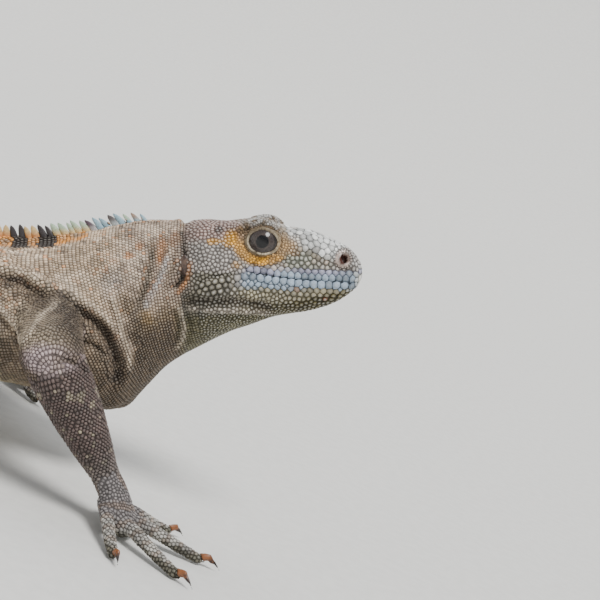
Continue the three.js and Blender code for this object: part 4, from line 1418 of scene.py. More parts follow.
class Seeds:
    """The places where scales grow, each with a normal, a part, a size and a kind."""

    def __init__(self):
        self.lists = self.places, self.normals, self.parts, self.sizes, self.kinds = [], [], [], [], []

    def add(self, found, size, sort=PLAIN):
        for values, value in zip(self.lists, (*found, size, sort)):
            values.append(value)

    def move(self, number, found):
        self.places[number], self.normals[number], self.parts[number] = found

    def arrays(self):
        return [np.array(values) for values in self.lists]

    def loosen(self, surface):
        """Nudges the seeds a little out of line, as grown scales are."""
        places, _, _, sizes, _ = self.arrays()
        drift = np.stack([lattice_noise(places, 2.2, seed) + 0.8 * lattice_noise(places, 6.0, seed)
                          for seed in (31, 32, 33)], axis=1)
        moved = places + drift * (0.13 * sizes)[:, None]
        for number, place in enumerate(moved):
            self.move(number, surface.nearest(place))

    def thin_out(self):
        """Drops the seeds of bare places, and those that came too near an earlier one."""
        places, _, parts, sizes, _ = self.arrays()
        crowd = Crowd(0.40)
        kept = [number for number in np.flatnonzero(~bare(places, parts))
                if crowd.admits(places[number], sizes[number])]
        for values in self.lists:
            values[:] = [values[number] for number in kept]


def ring_of_hits(surface, centre, first, second, names, reach=80.0, rays=ROW_RAYS):
    """Hits all round a centre, in the plane of two directions, that lie on the named parts."""
    allowed = {PART[name] for name in names}
    hits = []
    for turn in range(rays):
        angle = math.tau * turn / rays
        found = surface.hit(centre, first * math.cos(angle) + second * math.sin(angle), reach)
        if found is not None and found[2] not in allowed:
            found = None
        hits.append(found)
    return hits


def seeds_on_ring(seeds, hits, spacing, shift, sort=PLAIN):
    """Places seeds at even steps along a ring of hits; shift, 0 to 1, staggers the rows."""
    whole = all(found is not None for found in hits)
    run = hits + hits[:1] if whole else hits
    if whole:
        total = sum(np.linalg.norm(after[0] - before[0]) for before, after in zip(run, run[1:]))
        spacing = total / max(3, round(total / spacing))
    travelled = spacing * shift
    for before, found in zip(run, run[1:]):
        step = np.linalg.norm(found[0] - before[0]) if before and found else np.inf
        if step >= 3 * spacing:
            # A gap or a leap to another part of the skin: the row begins anew behind it.
            travelled = spacing * shift
            continue
        while travelled <= step and step > 0:
            share = travelled / step
            place = before[0] + (found[0] - before[0]) * share
            normal = before[1] + (found[1] - before[1]) * share
            seeds.add((place, unit(normal), found[2]), spacing, sort)
            travelled += spacing
        travelled -= step


def trunk_girth(share):
    """The trunk's top and bottom on the middle plane, at a share of its length."""
    ends = []
    for knots in zip(*GIRTHS):
        line = smooth_line(knots)
        at = share * (len(line) - 1)
        low = min(int(at), len(line) - 2)
        x, z = line[low] + (line[low + 1] - line[low]) * (at - low)
        ends.append(np.array([x, 0, z]))
    return ends


def trunk_middles(count):
    """That many points along the trunk's middle line."""
    return np.array([sum(trunk_girth(share)) / 2 for share in np.linspace(0, 1, count)])


def trunk_rows(surface, seeds):
    """Rings round the trunk and neck, each turned half a scale from the last."""
    share = 0.0
    number = 0
    while share < 1:
        top, bottom = trunk_girth(share)
        centre = (top + bottom) / 2
        up = unit(top - bottom)
        spacing = np.interp(centre[0], [-120, -60, 60, 130], [1.85, 1.72, 1.34, 1.22])
        hits = ring_of_hits(surface, centre, up, np.array([0, 1.0, 0]), TRUNK)
        seeds_on_ring(seeds, hits, spacing, 0.5 * (number % 2) + 0.25)
        ahead_top, ahead_bottom = trunk_girth(min(1, share + 0.001))
        step = np.linalg.norm((ahead_top + ahead_bottom - top - bottom) / 2) / 0.001
        share += 0.9 * spacing / step
        number += 1


def tail_line():
    """The tail's middle line on the floor: positions and headings, one row each."""
    rows = [(-121.0, 0.0, 0.0)]
    step = TAIL_LENGTH / TAIL_STEPS
    for number in range(1, TAIL_STEPS + 1):
        heading = TAIL_SWAY * math.sin(math.tau * (number / TAIL_STEPS - 0.08))
        x, y, _ = rows[-1]
        rows.append((x - step * math.cos(heading), y + step * math.sin(heading), heading))
    return np.array(rows)


TAIL_ROWS = tail_line()


def tail_place(distance):
    """A point on the tail's middle line, that far from its root, with its run and half height."""
    at = np.arange(TAIL_STEPS + 1) * TAIL_LENGTH / TAIL_STEPS
    x, y, heading = (np.interp(distance, at, column) for column in TAIL_ROWS.T)
    half = 1.3 + 15.6 * max(0, 1 - distance / TAIL_LENGTH) ** 1.5
    return np.array([x, y, half * 1.02]), np.array([-math.cos(heading), math.sin(heading), 0]), half


def tail_whorls(surface, seeds):
    """Rings of spiny scales, each followed by two rows of small ones."""
    distance = 1.5
    number = 0
    while distance < TAIL_LENGTH - 2:
        centre, run, half = tail_place(distance)
        big = number % 3 == 0
        size = 1.1 + 0.125 * half
        length = size * (1.25 if big else 0.72)
        across = np.array([-run[1], run[0], 0])
        hits = ring_of_hits(surface, centre, np.array([0, 0, 1.0]), across, TAIL, reach=30, rays=96)
        width = (0.95 if big else 0.82) * size
        seeds_on_ring(seeds, hits, width, 0.5 * (number % 2), SPINY if big else PLAIN)
        distance += length
        number += 1


def limb_axis(name):
    """Centre of a limb's solid, its run away from the body, and where along it the solid lies."""
    points = coordinates(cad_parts[name].data)
    middle = points.mean(axis=0)
    run = np.linalg.svd(points - middle, full_matrices=False)[2][0]
    # The upper limbs run outwards and the others downwards.
    if (run[1] * middle[1] < 0) if kind(name) in UPPER_KINDS else (run[2] > 0):
        run = -run
    along = (points - middle) @ run
    return middle, run, along.min(), along.max()


def limb_rows(surface, seeds):
    """Rings round the limbs; those of the upper limbs begin half way down."""
    for name in LIMBS:
        if kind(name) in FOOT_KINDS:
            continue
        middle, run, start, end = limb_axis(name)
        spacing = SPACING[kind(name)]
        if kind(name) in UPPER_KINDS:
            start += 0.5 * (end - start)
        first = unit(np.cross(run, [0, 0, 1.0]))
        second = np.cross(first, run)
        at = start
        number = 0
        while at < end:
            hits = ring_of_hits(surface, middle + run * at, first, second, [name], reach=22, rays=120)
            seeds_on_ring(seeds, hits, spacing * 1.08, 0.5 * (number % 2) + 0.2)
            at += spacing * 0.78
            number += 1


DIGIT_REACH = {"fore": (13, 21, 30, 31, 22), "hind": (18, 30, 44, 57, 33)}
DIGIT_STEP = 1.3  # between the rows of a digit
DIGIT_SPACING = 1.45  # along a row


def digit_rows(surface, seeds):
    """Short rows of broad scutes along each digit, from its claw back to the palm."""
    for side in SIDES:
        for pair, foot in (("fore", "hand"), ("hind", "foot")):
            name = f"{foot}_{side}"
            own = surface.points[surface.parts == PART[name]]
            for number, reach in enumerate(DIGIT_REACH[pair], 1):
                claw = coordinates(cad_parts[f"claw_{pair}_{side}_{number}"].data)[:, :2]
                out = np.linalg.svd(claw - claw.mean(axis=0))[2][0]
                if (claw.mean(axis=0) - own[:, :2].mean(axis=0)) @ out < 0:
                    out = -out
                base = claw[np.argmin(claw @ out)]
                across = np.array([-out[1], out[0]])
                offsets = own[:, :2] - base
                # Each row lies in a slab 1.4 mm thick, across a digit less than 6.4 mm wide.
                for row in range(int(reach / DIGIT_STEP)):
                    back = 0.8 + row * DIGIT_STEP
                    near = (np.abs(offsets @ out + back) < 0.7) & (np.abs(offsets @ across) < 3.2)
                    if near.sum() < 8:
                        continue
                    centre = own[near].mean(axis=0)
                    hits = ring_of_hits(surface, centre, np.array([0, 0, 1.0]), np.array([*across, 0]),
                                        [name], reach=4.5, rays=60)
                    seeds_on_ring(seeds, hits, DIGIT_SPACING, 0.5 * (row % 2))


SNOUT_END = 40
# Rows of the jaws: distance from the mouth line (up is positive), spacing, front end, back end,
# size and kind.
JAW_ROWS = [
    (1.3, 2.6, SNOUT_END, -4, 2.4, PLATE), (3.1, 2.6, SNOUT_END, 2, 2.0, PLATE),
    (-1.7, 2.9, SNOUT_END, -9, 3.0, PLATE), (-4.2, 2.5, SNOUT_END, -12, 2.0, PLATE),
    (-5.8, 2.5, SNOUT_END, -24, 2.1, BEAD), (-7.3, 2.4, SNOUT_END, -24, 2.1, BEAD),
    (-1.7, 2.6, -9, -25, 2.2, BEAD), (-3.6, 2.6, -12, -26, 2.2, BEAD),
]


def jaw_rows(surface, seeds):
    """Rows of scales along the lips and the lower jaw, in line with the mouth."""
    line = smooth_line(MOUTH + [(-11.0, 2.6), (-18.5, 1.4), (-25.0, -1.2)])
    lengths = lengths_along(line)
    for number, (away, spacing, front_end, back_end, size, sort) in enumerate(JAW_ROWS):
        for sign in SIDES.values():
            at = 1.2 + spacing * (0.5 * (number % 2))
            while at < lengths[-1]:
                x = np.interp(at, lengths, line[:, 0])
                z = np.interp(at, lengths, line[:, 1]) + away
                at += spacing
                if not back_end <= x <= front_end:
                    continue
                start = from_fore([[x, sign * 40, z]])[0]
                found = surface.hit(start, np.array([0, -sign, 0]))
                if found is not None and found[0][1] * sign > 0:
                    seeds.add(found, size, sort)


def head_spacing(fore):
    """How far apart the seeds are on the head."""
    x, y, z = fore.T
    ring = np.where(np.abs(y) > 7, lid_ring(fore), 3)
    size = np.full(len(fore), 1.42)
    top = 0.35 + 0.65 * ease(-6.5, -3.5, snout_top(fore, 23.5))
    size += 1.2 * top * ease(7, 14, x) * ease(36, 31, x)
    size += 0.3 * ease(31, 36, x)
    size += 0.3 * ease(15, 19, z) * ease(-16, -6, x)
    size -= 0.25 * ease(-9, -13, z)
    size = np.where(ring < 2.6, np.minimum(size, 0.72 + 0.42 * np.maximum(ring - 1.1, 0)), size)
    return np.minimum(size, 0.9 + 0.45 * np.maximum(from_nostril(fore) - 3.2, 0))


def from_nostril(fore):
    return np.hypot(fore[:, 0] - NOSTRIL[0], fore[:, 2] - NOSTRIL[2])


def bare(points, parts):
    """True where no scale grows: in the lids' opening, nostrils, eardrums and the mouth's line."""
    fore = to_fore(points)
    x, y, z = fore.T
    lids = (lid_ring(fore) < 1.30) & (np.abs(y) > 6)
    nostril = (from_nostril(fore) < 2.9) & (np.abs(y) > 3)
    away, _ = near_line(fore[:, [0, 2]], smooth_line(MOUTH, 3))
    mouth = (np.abs(away) < 0.4) & (x > -7) & among(parts, HEAD[:2])
    drum = (np.hypot((x + 28.4) / 1.5, (z - 4.5) / 4.2) < 1) & (np.abs(y) > 10)
    return lids | nostril | mouth | drum


def tree_of(points):
    tree = KDTree(len(points))
    for number, point in enumerate(points):
        tree.insert(point, number)
    tree.balance()
    return tree


def fill_gaps(surface, seeds):
    """Adds seeds wherever the rows leave room, the head above all, and evens them out."""
    spacing = np.where(among(surface.parts, HEAD), head_spacing(to_fore(surface.points)),
                       by_kind(SPACING, surface.parts))
    rows = tree_of(seeds.places)
    sizes = seeds.sizes
    order = np.random.default_rng(5).permutation(len(surface.points))
    closed = bare(surface.points, surface.parts)
    crowd = Crowd(0.42)
    first_new = len(seeds.places)
    for number in order:
        if closed[number]:
            continue
        point = surface.points[number]
        gap = spacing[number]
        _, row, distance = rows.find(point)
        if distance >= 0.45 * (gap + sizes[row]) and crowd.admits(point, gap):
            seeds.add((point, surface.normals[number], surface.parts[number]), gap)
    even_out(surface, seeds, first_new)


def even_out(surface, seeds, first_new, rounds=5):
    """Pushes the filled-in seeds apart along the skin until they are evenly spread."""
    places = np.array(seeds.places)
    sizes = np.array(seeds.sizes)
    for _ in range(rounds):
        tree = tree_of(places)
        for number in range(first_new, len(places)):
            point = places[number]
            push = np.zeros(3)
            for other, index, distance in tree.find_n(point, 8):
                wanted = 0.53 * (sizes[number] + sizes[index])
                if index != number and 0 < distance < wanted:
                    push += (point - np.array(other)) / distance * (wanted - distance)
            found = surface.nearest(point + push * 0.3)
            places[number] = found[0]
            seeds.move(number, found)


# ---- The shape of each scale ----

CORNERS = 8
NEIGHBOURS = 12
SUNK = 0.16  # a scale's rim lies this far under the skin
SCALE_FLOOR = 0.02  # no scale reaches further down than this
PATCH = 0.003  # width of a scale's patch on the OFBake map
RIM_WIDTH = 0.93  # of a scale, as a share of its cell

# The coat's region of each kind of part.
REGION = {"head": "head", "lower_jaw": "head", "eye": "head", "ear": "head", "neck": "neck",
          "chest": "trunk", "belly": "trunk", "pelvis": "trunk", "hand": "foot", "foot": "foot",
          "upper_arm": "limb", "forearm": "limb", "thigh": "limb", "shin": "limb"}
REGION.update({part: "tail" for part in TAIL})

# For each region: a scale's rise in mm, its tilt, how dark its rim is with painted shade and how pale its
# crown is with a painted highlight.
COAT_LOOKS = {
    "head": (0.30, 0.04, 0.95, 0.34), "neck": (0.30, 0.10, 0.90, 0.16), "trunk": (0.30, 0.10, 0.90, 0.12),
    "limb": (0.34, 0.14, 0.92, 0.06), "tail": (0.42, 0.14, 0.88, 0.10), "foot": (0.26, 0.14, 0.88, 0.10),
}


def coat_looks(regions):
    return np.array([COAT_LOOKS[region] for region in regions]).T


def lie_of(places, parts):
    """The direction in which each scale points, before it is laid on the skin."""
    lie = np.tile(-FORE_AHEAD, (len(places), 1))
    regions = by_kind(REGION, parts)
    middles = trunk_middles(60)
    runs = unit_rows(np.gradient(middles, axis=0))
    for number in np.flatnonzero(among(parts, TRUNK)):
        lie[number] = runs[np.argmin(np.abs(middles - places[number]).sum(axis=1))]
    for number in np.flatnonzero(regions == "tail"):
        at = np.argmin(np.hypot(*(TAIL_ROWS[:, :2] - places[number, :2]).T))
        heading = TAIL_ROWS[at, 2]
        lie[number] = (-math.cos(heading), math.sin(heading), 0)
    for name in LIMBS:
        own = parts == PART[name]
        if kind(name) in FOOT_KINDS:
            shank = name.replace("hand", "forearm").replace("foot", "shin")
            middle, run, _, end = limb_axis(shank)
            away = places[own] - (middle + run * end)
            lie[own] = away / np.maximum(np.linalg.norm(away, axis=1), 1e-6)[:, None]
        else:
            lie[own] = limb_axis(name)[1]
    return lie


def laid_on(normals, lie):
    """Lie directions turned into the skin's plane, and the directions to their left."""
    lie = lie - normals * np.sum(lie * normals, axis=1)[:, None]
    length = np.linalg.norm(lie, axis=1)
    spare = np.cross(normals, [0.3, 1.0, 0.2])
    lie = unit_rows(np.where(length[:, None] > 0.05, lie, spare))
    return lie, np.cross(normals, lie)


def cell_radii(places, sizes, lie, left, angles):
    """How far each scale reaches in each direction before it meets its neighbours."""
    tree = tree_of(places)
    others = np.empty((len(places), NEIGHBOURS), np.int32)
    for number, place in enumerate(places):
        found = tree.find_n(place, NEIGHBOURS + 1)
        others[number] = [index for _, index, _ in found if index != number][:NEIGHBOURS]
    offset = places[others] - places[:, None]
    along = np.einsum("nmk,nk->nm", offset, lie)
    across = np.einsum("nmk,nk->nm", offset, left)
    squared = along ** 2 + across ** 2 + 1e-9
    true_squared = np.sum(offset ** 2, axis=2)
    share = 0.5 + 0.25 * (sizes[:, None] - sizes[others]) / (sizes[:, None] + sizes[others])
    radii = np.empty(angles.shape)
    for number, angle in enumerate(angles.T):
        toward = along * np.cos(angle)[:, None] + across * np.sin(angle)[:, None]
        reach = np.where(toward > 0.05, true_squared * share / np.maximum(toward, 0.05), 9.0)
        reach = np.where(squared < 0.2 * true_squared, 9.0, reach)
        radii[:, number] = reach.min(axis=1)
    return np.minimum(radii, 0.75 * sizes[:, None])


class Scales:
    """Every scale of the coat as arrays: rims, inner rings and crowns."""

    def __init__(self, seeds):
        self.places, self.normals, self.parts, self.sizes, self.kinds = seeds.arrays()
        self.lie, self.left = laid_on(self.normals, lie_of(self.places, self.parts))
        self.regions = by_kind(REGION, self.parts)
        # The big scales of snout and lips are flat plates that nearly touch.
        flat = (self.kinds == PLATE) | ((self.kinds == PLAIN) & (self.sizes > 1.85))
        self.plate = (self.regions == "head") & flat
        turn = np.where(self.plate, 0.0, 0.5)[:, None]
        self.angles = math.tau * (np.arange(CORNERS)[None] + turn) / CORNERS
        self.radii = cell_radii(self.places, self.sizes, self.lie, self.left, self.angles)
        self.random = np.random.default_rng(11).random((len(self.places), 3))
        self.shape()

    def shape(self):
        """Corner offsets in each scale's own plane: (along the lie, to its left, out)."""
        rise, tilt, _, _ = coat_looks(self.regions)
        rise = rise * np.clip(self.sizes / 1.5, 0.45, 1.5) * (0.85 + 0.3 * self.random[:, 0])
        spiny = self.kinds == SPINY
        mean = self.radii.mean(axis=1)
        head = self.regions == "head"
        rise = np.where(self.plate, 0.72 * rise, rise)
        tilt = np.where(spiny, 0.34, tilt)
        overlap = np.select([head, spiny], [0.02, 0.35], 0.14)
        cosine, sine = np.cos(self.angles), np.sin(self.angles)
        rear = np.maximum(cosine, 0)
        close = np.where(self.plate, 1.0, RIM_WIDTH)[:, None]
        reach = self.radii * close * (1 + overlap[:, None] * rear ** 2)
        rounder = np.select([self.plate, head], [0.04, 0.30], 0.2)[:, None]
        reach = reach * (1 - rounder) + np.minimum(reach, mean[:, None] * 1.02) * rounder
        sunk = np.where(self.plate, 0.4 * SUNK, SUNK)[:, None] * np.ones_like(reach)
        self.rim = np.stack([reach * cosine, reach * sine, -sunk], axis=2)
        self.rim[:, :, 2] += np.where(rear > 0.5, 0.4 * tilt[:, None] * mean[:, None], 0)
        inner = reach * np.where(self.plate, 0.91, 0.74)[:, None]
        lift = rise[:, None] * 0.86 + tilt[:, None] * inner * cosine
        self.inner = np.stack([inner * cosine + 0.05 * mean[:, None], inner * sine, lift], axis=2)
        crown_at = np.where(spiny, 0.85, 0.12) * mean
        crown_up = rise + tilt * crown_at + np.where(spiny, 0.28 * mean, 0)
        self.crown = np.stack([crown_at, np.zeros_like(mean), crown_up], axis=1)
        self.width = reach.max(axis=1)

    def world(self, offsets, chosen):
        """Offsets in the scales' own planes as points of the frame, in mm."""
        shape = (len(chosen),) + (1,) * (offsets.ndim - 2) + (3,)
        axes = [directions[chosen].reshape(shape) for directions in (self.lie, self.left, self.normals)]
        centres = self.places[chosen].reshape(shape)
        return centres + sum(offsets[..., i:i + 1] * axis for i, axis in enumerate(axes))


def unwrap(places, normals, region):
    """The skin of one piece laid flat: two numbers from 0 to 1 for each place."""
    if region == "foot":
        flat = places[:, :2] - places[:, :2].min(axis=0)
        flat = flat / max(flat.max(), 1e-6)
        under = normals[:, 2] < 0
        return np.stack([flat[:, 0] * 0.96 + 0.02, flat[:, 1] * 0.46 + 0.02 + 0.49 * under], axis=1)
    if region == "head":
        fore = to_fore(places)
        radius = np.hypot(fore[:, 1], fore[:, 2] - 2)
        along = fore[:, 0] - 0.4 * radius
        around = np.arctan2(fore[:, 1], fore[:, 2] - 2)
    elif region == "limb":
        middle = places.mean(axis=0)
        run = np.linalg.svd(places - middle, full_matrices=False)[2][0]
        first = np.cross(run, [0, 0, 1.0])
        along = (places - middle) @ run
        around = np.arctan2((places - middle) @ np.cross(run, first), (places - middle) @ first)
    else:
        nearest = np.array([np.argmin(np.abs(BODY_MIDDLES - place).sum(axis=1)) for place in places])
        offset = places - BODY_MIDDLES[nearest]
        along = BODY_LENGTHS[nearest] + np.sum(offset * BODY_RUNS[nearest], axis=1)
        around = np.arctan2(offset[:, 1], offset[:, 2])
    along = (along - along.min()) / max(np.ptp(along), 1e-6)
    return np.stack([along * 0.97 + 0.015, around / math.tau * 0.97 + 0.5], axis=1)


def body_line(in_trunk=80, in_tail=100):
    """The middle line of trunk and tail, and half the body's height at each of its points."""
    girths = [trunk_girth(share) for share in np.linspace(0, 1, in_trunk)]
    tail = [tail_place(distance) for distance in np.linspace(5, TAIL_LENGTH, in_tail)]
    halves = [np.linalg.norm(np.subtract(*girth)) / 2 for girth in girths] + [half for _, _, half in tail]
    return np.vstack([trunk_middles(in_trunk), [place for place, _, _ in tail]]), np.array(halves)


BODY_MIDDLES, BODY_HALVES = body_line()
BODY_LENGTHS = lengths_along(BODY_MIDDLES)
BODY_RUNS = unit_rows(np.gradient(BODY_MIDDLES, axis=0))


def softer(scales, chosen):
    """1 on top of the upper arms, whose skin is soft and granular, and 0 elsewhere."""
    return part_mask(scales.parts[chosen], UPPER_ARMS) * ease(0.25, 0.6, scales.normals[chosen, 2])


def contrast(scales, chosen):
    """How dark the rims' painted shade and how pale the crowns' painted highlight are, from 0 to 1."""
    regions = scales.regions[chosen]
    fore = to_fore(scales.places[chosen])
    _, _, gap, worn = coat_looks(regions)
    gap = np.where(scales.plate[chosen], 0.70, gap)
    worn = np.where(scales.plate[chosen], 0.10, worn)
    about_eye = np.hypot(fore[:, 0] - LID_CENTRE[0], fore[:, 2] - LID_CENTRE[1]) < 11
    about_eye &= regions == "head"
    gap = np.where(about_eye, 0.55, gap) - 0.6 * softer(scales, chosen)
    worn = np.where(about_eye, 0.0, worn) * (0.5 + scales.random[chosen, 2])
    return gap, worn


def dome_pattern():
    """One scale's faces over its rim, inner ring and crown: their corners, and their sizes."""
    ring = CORNERS
    after = [(corner + 1) % ring for corner in range(ring)]
    quads = [(corner, after[corner], ring + after[corner], ring + corner) for corner in range(ring)]
    fans = [(ring + corner, ring + after[corner], 2 * ring) for corner in range(ring)]
    faces = quads + fans + [tuple(range(ring))[::-1]]
    return [corner for face in faces for corner in face], [len(face) for face in faces]


def patch_map(scales, chosen, region, upper):
    """The OFBake map: each scale's dome fills its patch, and its underside lies small beside it."""
    root = unwrap(scales.places[chosen], scales.normals[chosen], region)
    flat = np.concatenate([scales.rim[chosen], scales.inner[chosen],
                           scales.crown[chosen][:, None]], axis=1)[:, :, :2]
    flat = flat / scales.width[chosen][:, None, None] * (PATCH / 2)
    turns = np.array([(math.cos(angle), math.sin(angle)) for angle in scales.angles[0]])
    under = np.array([PATCH * 0.72, 0]) + turns * PATCH * 0.12
    top_map = root[:, None] + flat[:, upper]
    under_map = root[:, None] + np.broadcast_to(under[::-1], (len(chosen), CORNERS, 2))
    return np.concatenate([top_map, under_map], axis=1)


def scale_mesh(name, scales, chosen, region):
    """One mesh of many closed scales, with its OFBake map, its markings and its rims marked."""
    count = len(chosen)
    per = 2 * CORNERS + 1
    rim = scales.world(scales.rim[chosen], chosen)
    inner = scales.world(scales.inner[chosen], chosen)
    crown = scales.world(scales.crown[chosen][:, None], chosen)
    points = np.concatenate([rim, inner, crown], axis=1).reshape(-1, 3)
    points[:, 2] = np.maximum(points[:, 2], SCALE_FLOOR)
    pattern, sizes = dome_pattern()
    loops = (np.arange(count)[:, None] * per + np.array(pattern)).ravel()
    starts = np.concatenate([[0], np.cumsum(sizes)[:-1]])
    starts = (np.arange(count)[:, None] * len(pattern) + starts).ravel()

    mesh = bpy.data.meshes.new(name)
    mesh.vertices.add(len(points))
    mesh.loops.add(len(loops))
    mesh.polygons.add(len(starts))
    mesh.vertices.foreach_set("co", (points * MM).ravel())
    mesh.loops.foreach_set("vertex_index", loops.astype(np.int32))
    mesh.polygons.foreach_set("loop_start", starts.astype(np.int32))
    mesh.update(calc_edges=True)

    corners = patch_map(scales, chosen, region, np.array(pattern[:-CORNERS]))
    layer = mesh.uv_layers.new(name="OFBake")
    layer.data.foreach_set("uv", corners.astype(np.float32).ravel())

    rims = np.tile(np.concatenate([np.ones(CORNERS), np.full(CORNERS, 0.42), np.zeros(1)]), count)
    point_values(mesh, "rim", rims)
    # Strengths of the painted shade on the rims and the painted highlight on the crowns.
    gap, worn = contrast(scales, chosen)
    point_values(mesh, "gap", np.repeat(gap, per))
    point_values(mesh, "worn", np.repeat(worn, per))
    colors = markings(scales.places[chosen], scales.parts[chosen])
    variety = 0.72 - 0.5 * softer(scales, chosen)
    colors = colors * (1 + variety * (scales.random[chosen, 1] - 0.5))[:, None]
    point_colors(mesh, np.repeat(colors, per, axis=0))
    return mesh


# The coat's pieces: name, parts, the shape they are unwrapped by, and slot.
COAT = [
    ("scales_head", HEAD, "head", "skin_head"),
    ("scales_neck", ["neck"], "trunk", "skin_back"),
    ("scales_chest", ["chest"], "trunk", "skin_back"),
    ("scales_belly", ["belly"], "trunk", "skin_belly"),
    ("scales_pelvis", ["pelvis"], "trunk", "skin_back"),
    ("scales_tail_fore", TAIL[:2], "trunk", "skin_tail"),
    ("scales_tail_rear", TAIL[2:], "trunk", "skin_tail"),
]
LIMB_PIECES = {"arm": ["upper_arm", "forearm"], "leg": ["thigh", "shin"], "hand": ["hand"],
               "foot": ["foot"]}
for side in SIDES:
    for piece, kinds in LIMB_PIECES.items():
        region = "foot" if piece in FOOT_KINDS else "limb"
        names = [f"{part}_{side}" for part in kinds]
        COAT.append((f"scales_{piece}_{side}", names, region, "skin_limb"))
MOST_SCALES = 5800  # keeps a piece under 200,000 triangles


def build_coat(scales):
    """Makes the coat's pieces, and halves those that would be too large."""
    for name, parts, region, slot in COAT:
        chosen = np.flatnonzero(among(scales.parts, parts))
        groups = [(name, chosen)]
        if len(chosen) > MOST_SCALES:
            left = scales.places[chosen, 1] > 0
            groups = [(f"{name}_left", chosen[left]), (f"{name}_right", chosen[~left])]
        for group, members in groups:
            mesh = scale_mesh(group, scales, members, region)
            finish_piece(group, mesh, SCALE_MATERIALS[slot])


# ---- Making the animal ----

SKIN_TRIANGLES = 190000


def build_skin():
    """The sculpted skin, thinned where it is plain, in the animal's markings with their painted shade and
    sheen.
    """
    mesh = skin_mesh.copy()
    mesh.calc_loop_triangles()
    mesh = with_modifier(mesh, "DECIMATE", ratio=min(1, SKIN_TRIANGLES / len(mesh.loop_triangles)))
    mesh.name = "skin"
    points = coordinates(mesh)
    parts, _ = part_finder.nearest(points)
    point_colors(mesh, markings(points, parts))
    point_values(mesh, "bare", bare(points, parts))
    mesh.materials.clear()
    finish_piece("skin", mesh, SKIN_MATERIAL, FLESH)


def grow_scales():
    """All the scales, from the rows of seeds to their shapes."""
    seeds = Seeds()
    trunk_rows(surface, seeds)
    tail_whorls(surface, seeds)
    limb_rows(surface, seeds)
    digit_rows(surface, seeds)
    seeds.loosen(surface)
    jaw_rows(surface, seeds)
    seeds.thin_out()
    fill_gaps(surface, seeds)
    return Scales(seeds)


surface = Surface(skin_mesh, skin_parts)
build_coat(grow_scales())
build_skin()
for side, sign in SIDES.items():
    build_eye(side, sign)
    build_eardrum(side)
    build_claws("fore", side, "forearm", "hand")
    build_claws("hind", side, "shin", "foot")
build_crest(surface.tree)


# ---- Floor, light and camera ----

TARGET = np.array([186.0, 0.0, 97.0])
CAMERA_DISTANCE = 600.0
CAMERA_ELEVATION = math.radians(8)
CAMERA_ROLL = FORE_PITCH
VIEW_WIDTH = 234.0  # what the picture takes in at the target
SENSOR = 36.0


def floor_material():
    """Plain pale matt board with a hint of grain."""
    material, tree, shader = new_material("floor")
    grain = noise(tree, 180.0, 3.0)
    color = blend(tree, band(tree, grain, 0.3, 0.7), (0.70, 0.70, 0.68, 1), (0.74, 0.74, 0.72, 1))
    tree.links.new(color, shader.inputs["Base Color"])
    shader.inputs["Roughness"].default_value = 0.9
    return material


FLOOR_FLAT = 1.6  # radius of the level floor, in metres
FLOOR_CURVE = 2.5  # radius of its upward curve


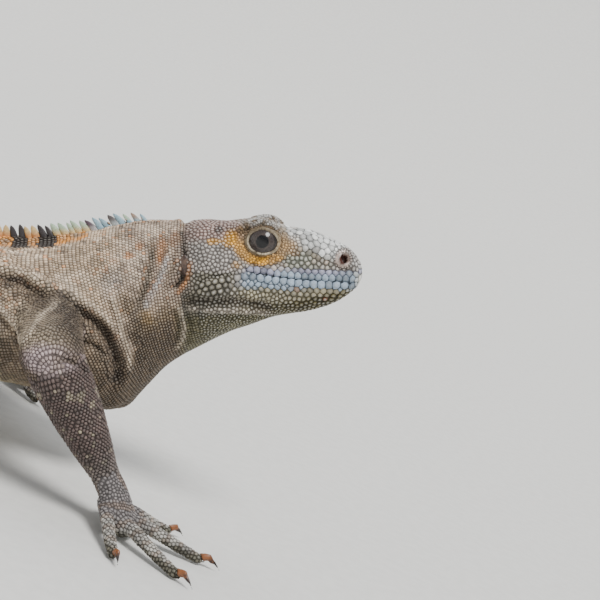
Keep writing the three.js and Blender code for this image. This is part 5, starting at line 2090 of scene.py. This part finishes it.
def build_floor():
    """A pale round floor that curves up far behind the animal on every side."""
    form = bmesh.new()
    rim = [form.verts.new((0, 0, 0))]
    for radius in (0.5, 1.0, FLOOR_FLAT):
        rim.append(form.verts.new((radius, 0, 0)))
    for turn in range(1, 17):
        angle = math.radians(80 * turn / 16)
        rim.append(form.verts.new((FLOOR_FLAT + FLOOR_CURVE * math.sin(angle), 0,
                                   FLOOR_CURVE - FLOOR_CURVE * math.cos(angle))))
    edges = [form.edges.new(pair) for pair in zip(rim, rim[1:])]
    bmesh.ops.spin(form, geom=rim + edges, cent=(0, 0, 0), axis=(0, 0, 1), dvec=(0, 0, 0),
                   angle=math.tau, steps=64, use_merge=True)
    bmesh.ops.remove_doubles(form, verts=form.verts, dist=0.001)
    bmesh.ops.recalc_face_normals(form, faces=form.faces)
    form.normal_update()
    form.faces.ensure_lookup_table()
    if form.faces[0].normal.z < 0:
        bmesh.ops.reverse_faces(form, faces=form.faces)
    mesh = mesh_of(form, "floor")
    mesh.polygons.foreach_set("use_smooth", [True] * len(mesh.polygons))
    mesh.materials.append(floor_material())
    floor = add_object("floor", mesh)


def add_lamp(name, place, strength, softness, color=(1, 1, 1)):
    """A soft light that shines evenly from one direction."""
    light = bpy.data.lights.new(name, "SUN")
    light.angle = math.radians(softness)
    light.energy = strength
    light.color = color
    lamp = bpy.data.objects.new(name, light)
    lamp.location = place
    lamp.rotation_euler = (-Vector(place)).to_track_quat("-Z", "Y").to_euler()
    bpy.context.scene.collection.objects.link(lamp)


def add_lights():
    """A key light from above on the camera's side, a weak one from behind, and a pale sky."""
    add_lamp("key", (0.35, -0.7, 1.7), 3.4, 24, (1.0, 0.98, 0.95))
    add_lamp("back", (-0.5, 1.2, 1.5), 0.8, 40)
    world = bpy.data.worlds.new("studio")
    world.use_nodes = True
    background = world.node_tree.nodes["Background"]
    background.inputs["Color"].default_value = (0.92, 0.95, 1.0, 1)
    background.inputs["Strength"].default_value = 0.5
    bpy.context.scene.world = world


def add_camera():
    """Looks across the animal's right side, rolled so that the floor falls to the right."""
    ahead = Vector((0, math.cos(CAMERA_ELEVATION), -math.sin(CAMERA_ELEVATION)))
    level_up = Vector((0, math.sin(CAMERA_ELEVATION), math.cos(CAMERA_ELEVATION)))
    right = Vector((1, 0, 0)) * math.cos(CAMERA_ROLL) + level_up * math.sin(CAMERA_ROLL)
    up = right.cross(ahead)
    place = Vector(TARGET * MM) - ahead * (CAMERA_DISTANCE * MM)
    data = bpy.data.cameras.new("camera")
    data.sensor_width = SENSOR
    data.lens = SENSOR * CAMERA_DISTANCE / VIEW_WIDTH
    data.clip_start = 0.01
    camera = bpy.data.objects.new("camera", data)
    camera.matrix_world = Matrix.Translation(place) @ Matrix((right, up, -ahead)).transposed().to_4x4()
    bpy.context.scene.collection.objects.link(camera)
    bpy.context.scene.camera = camera


build_floor()
add_lights()
add_camera()


bpy.context.view_layer.update()
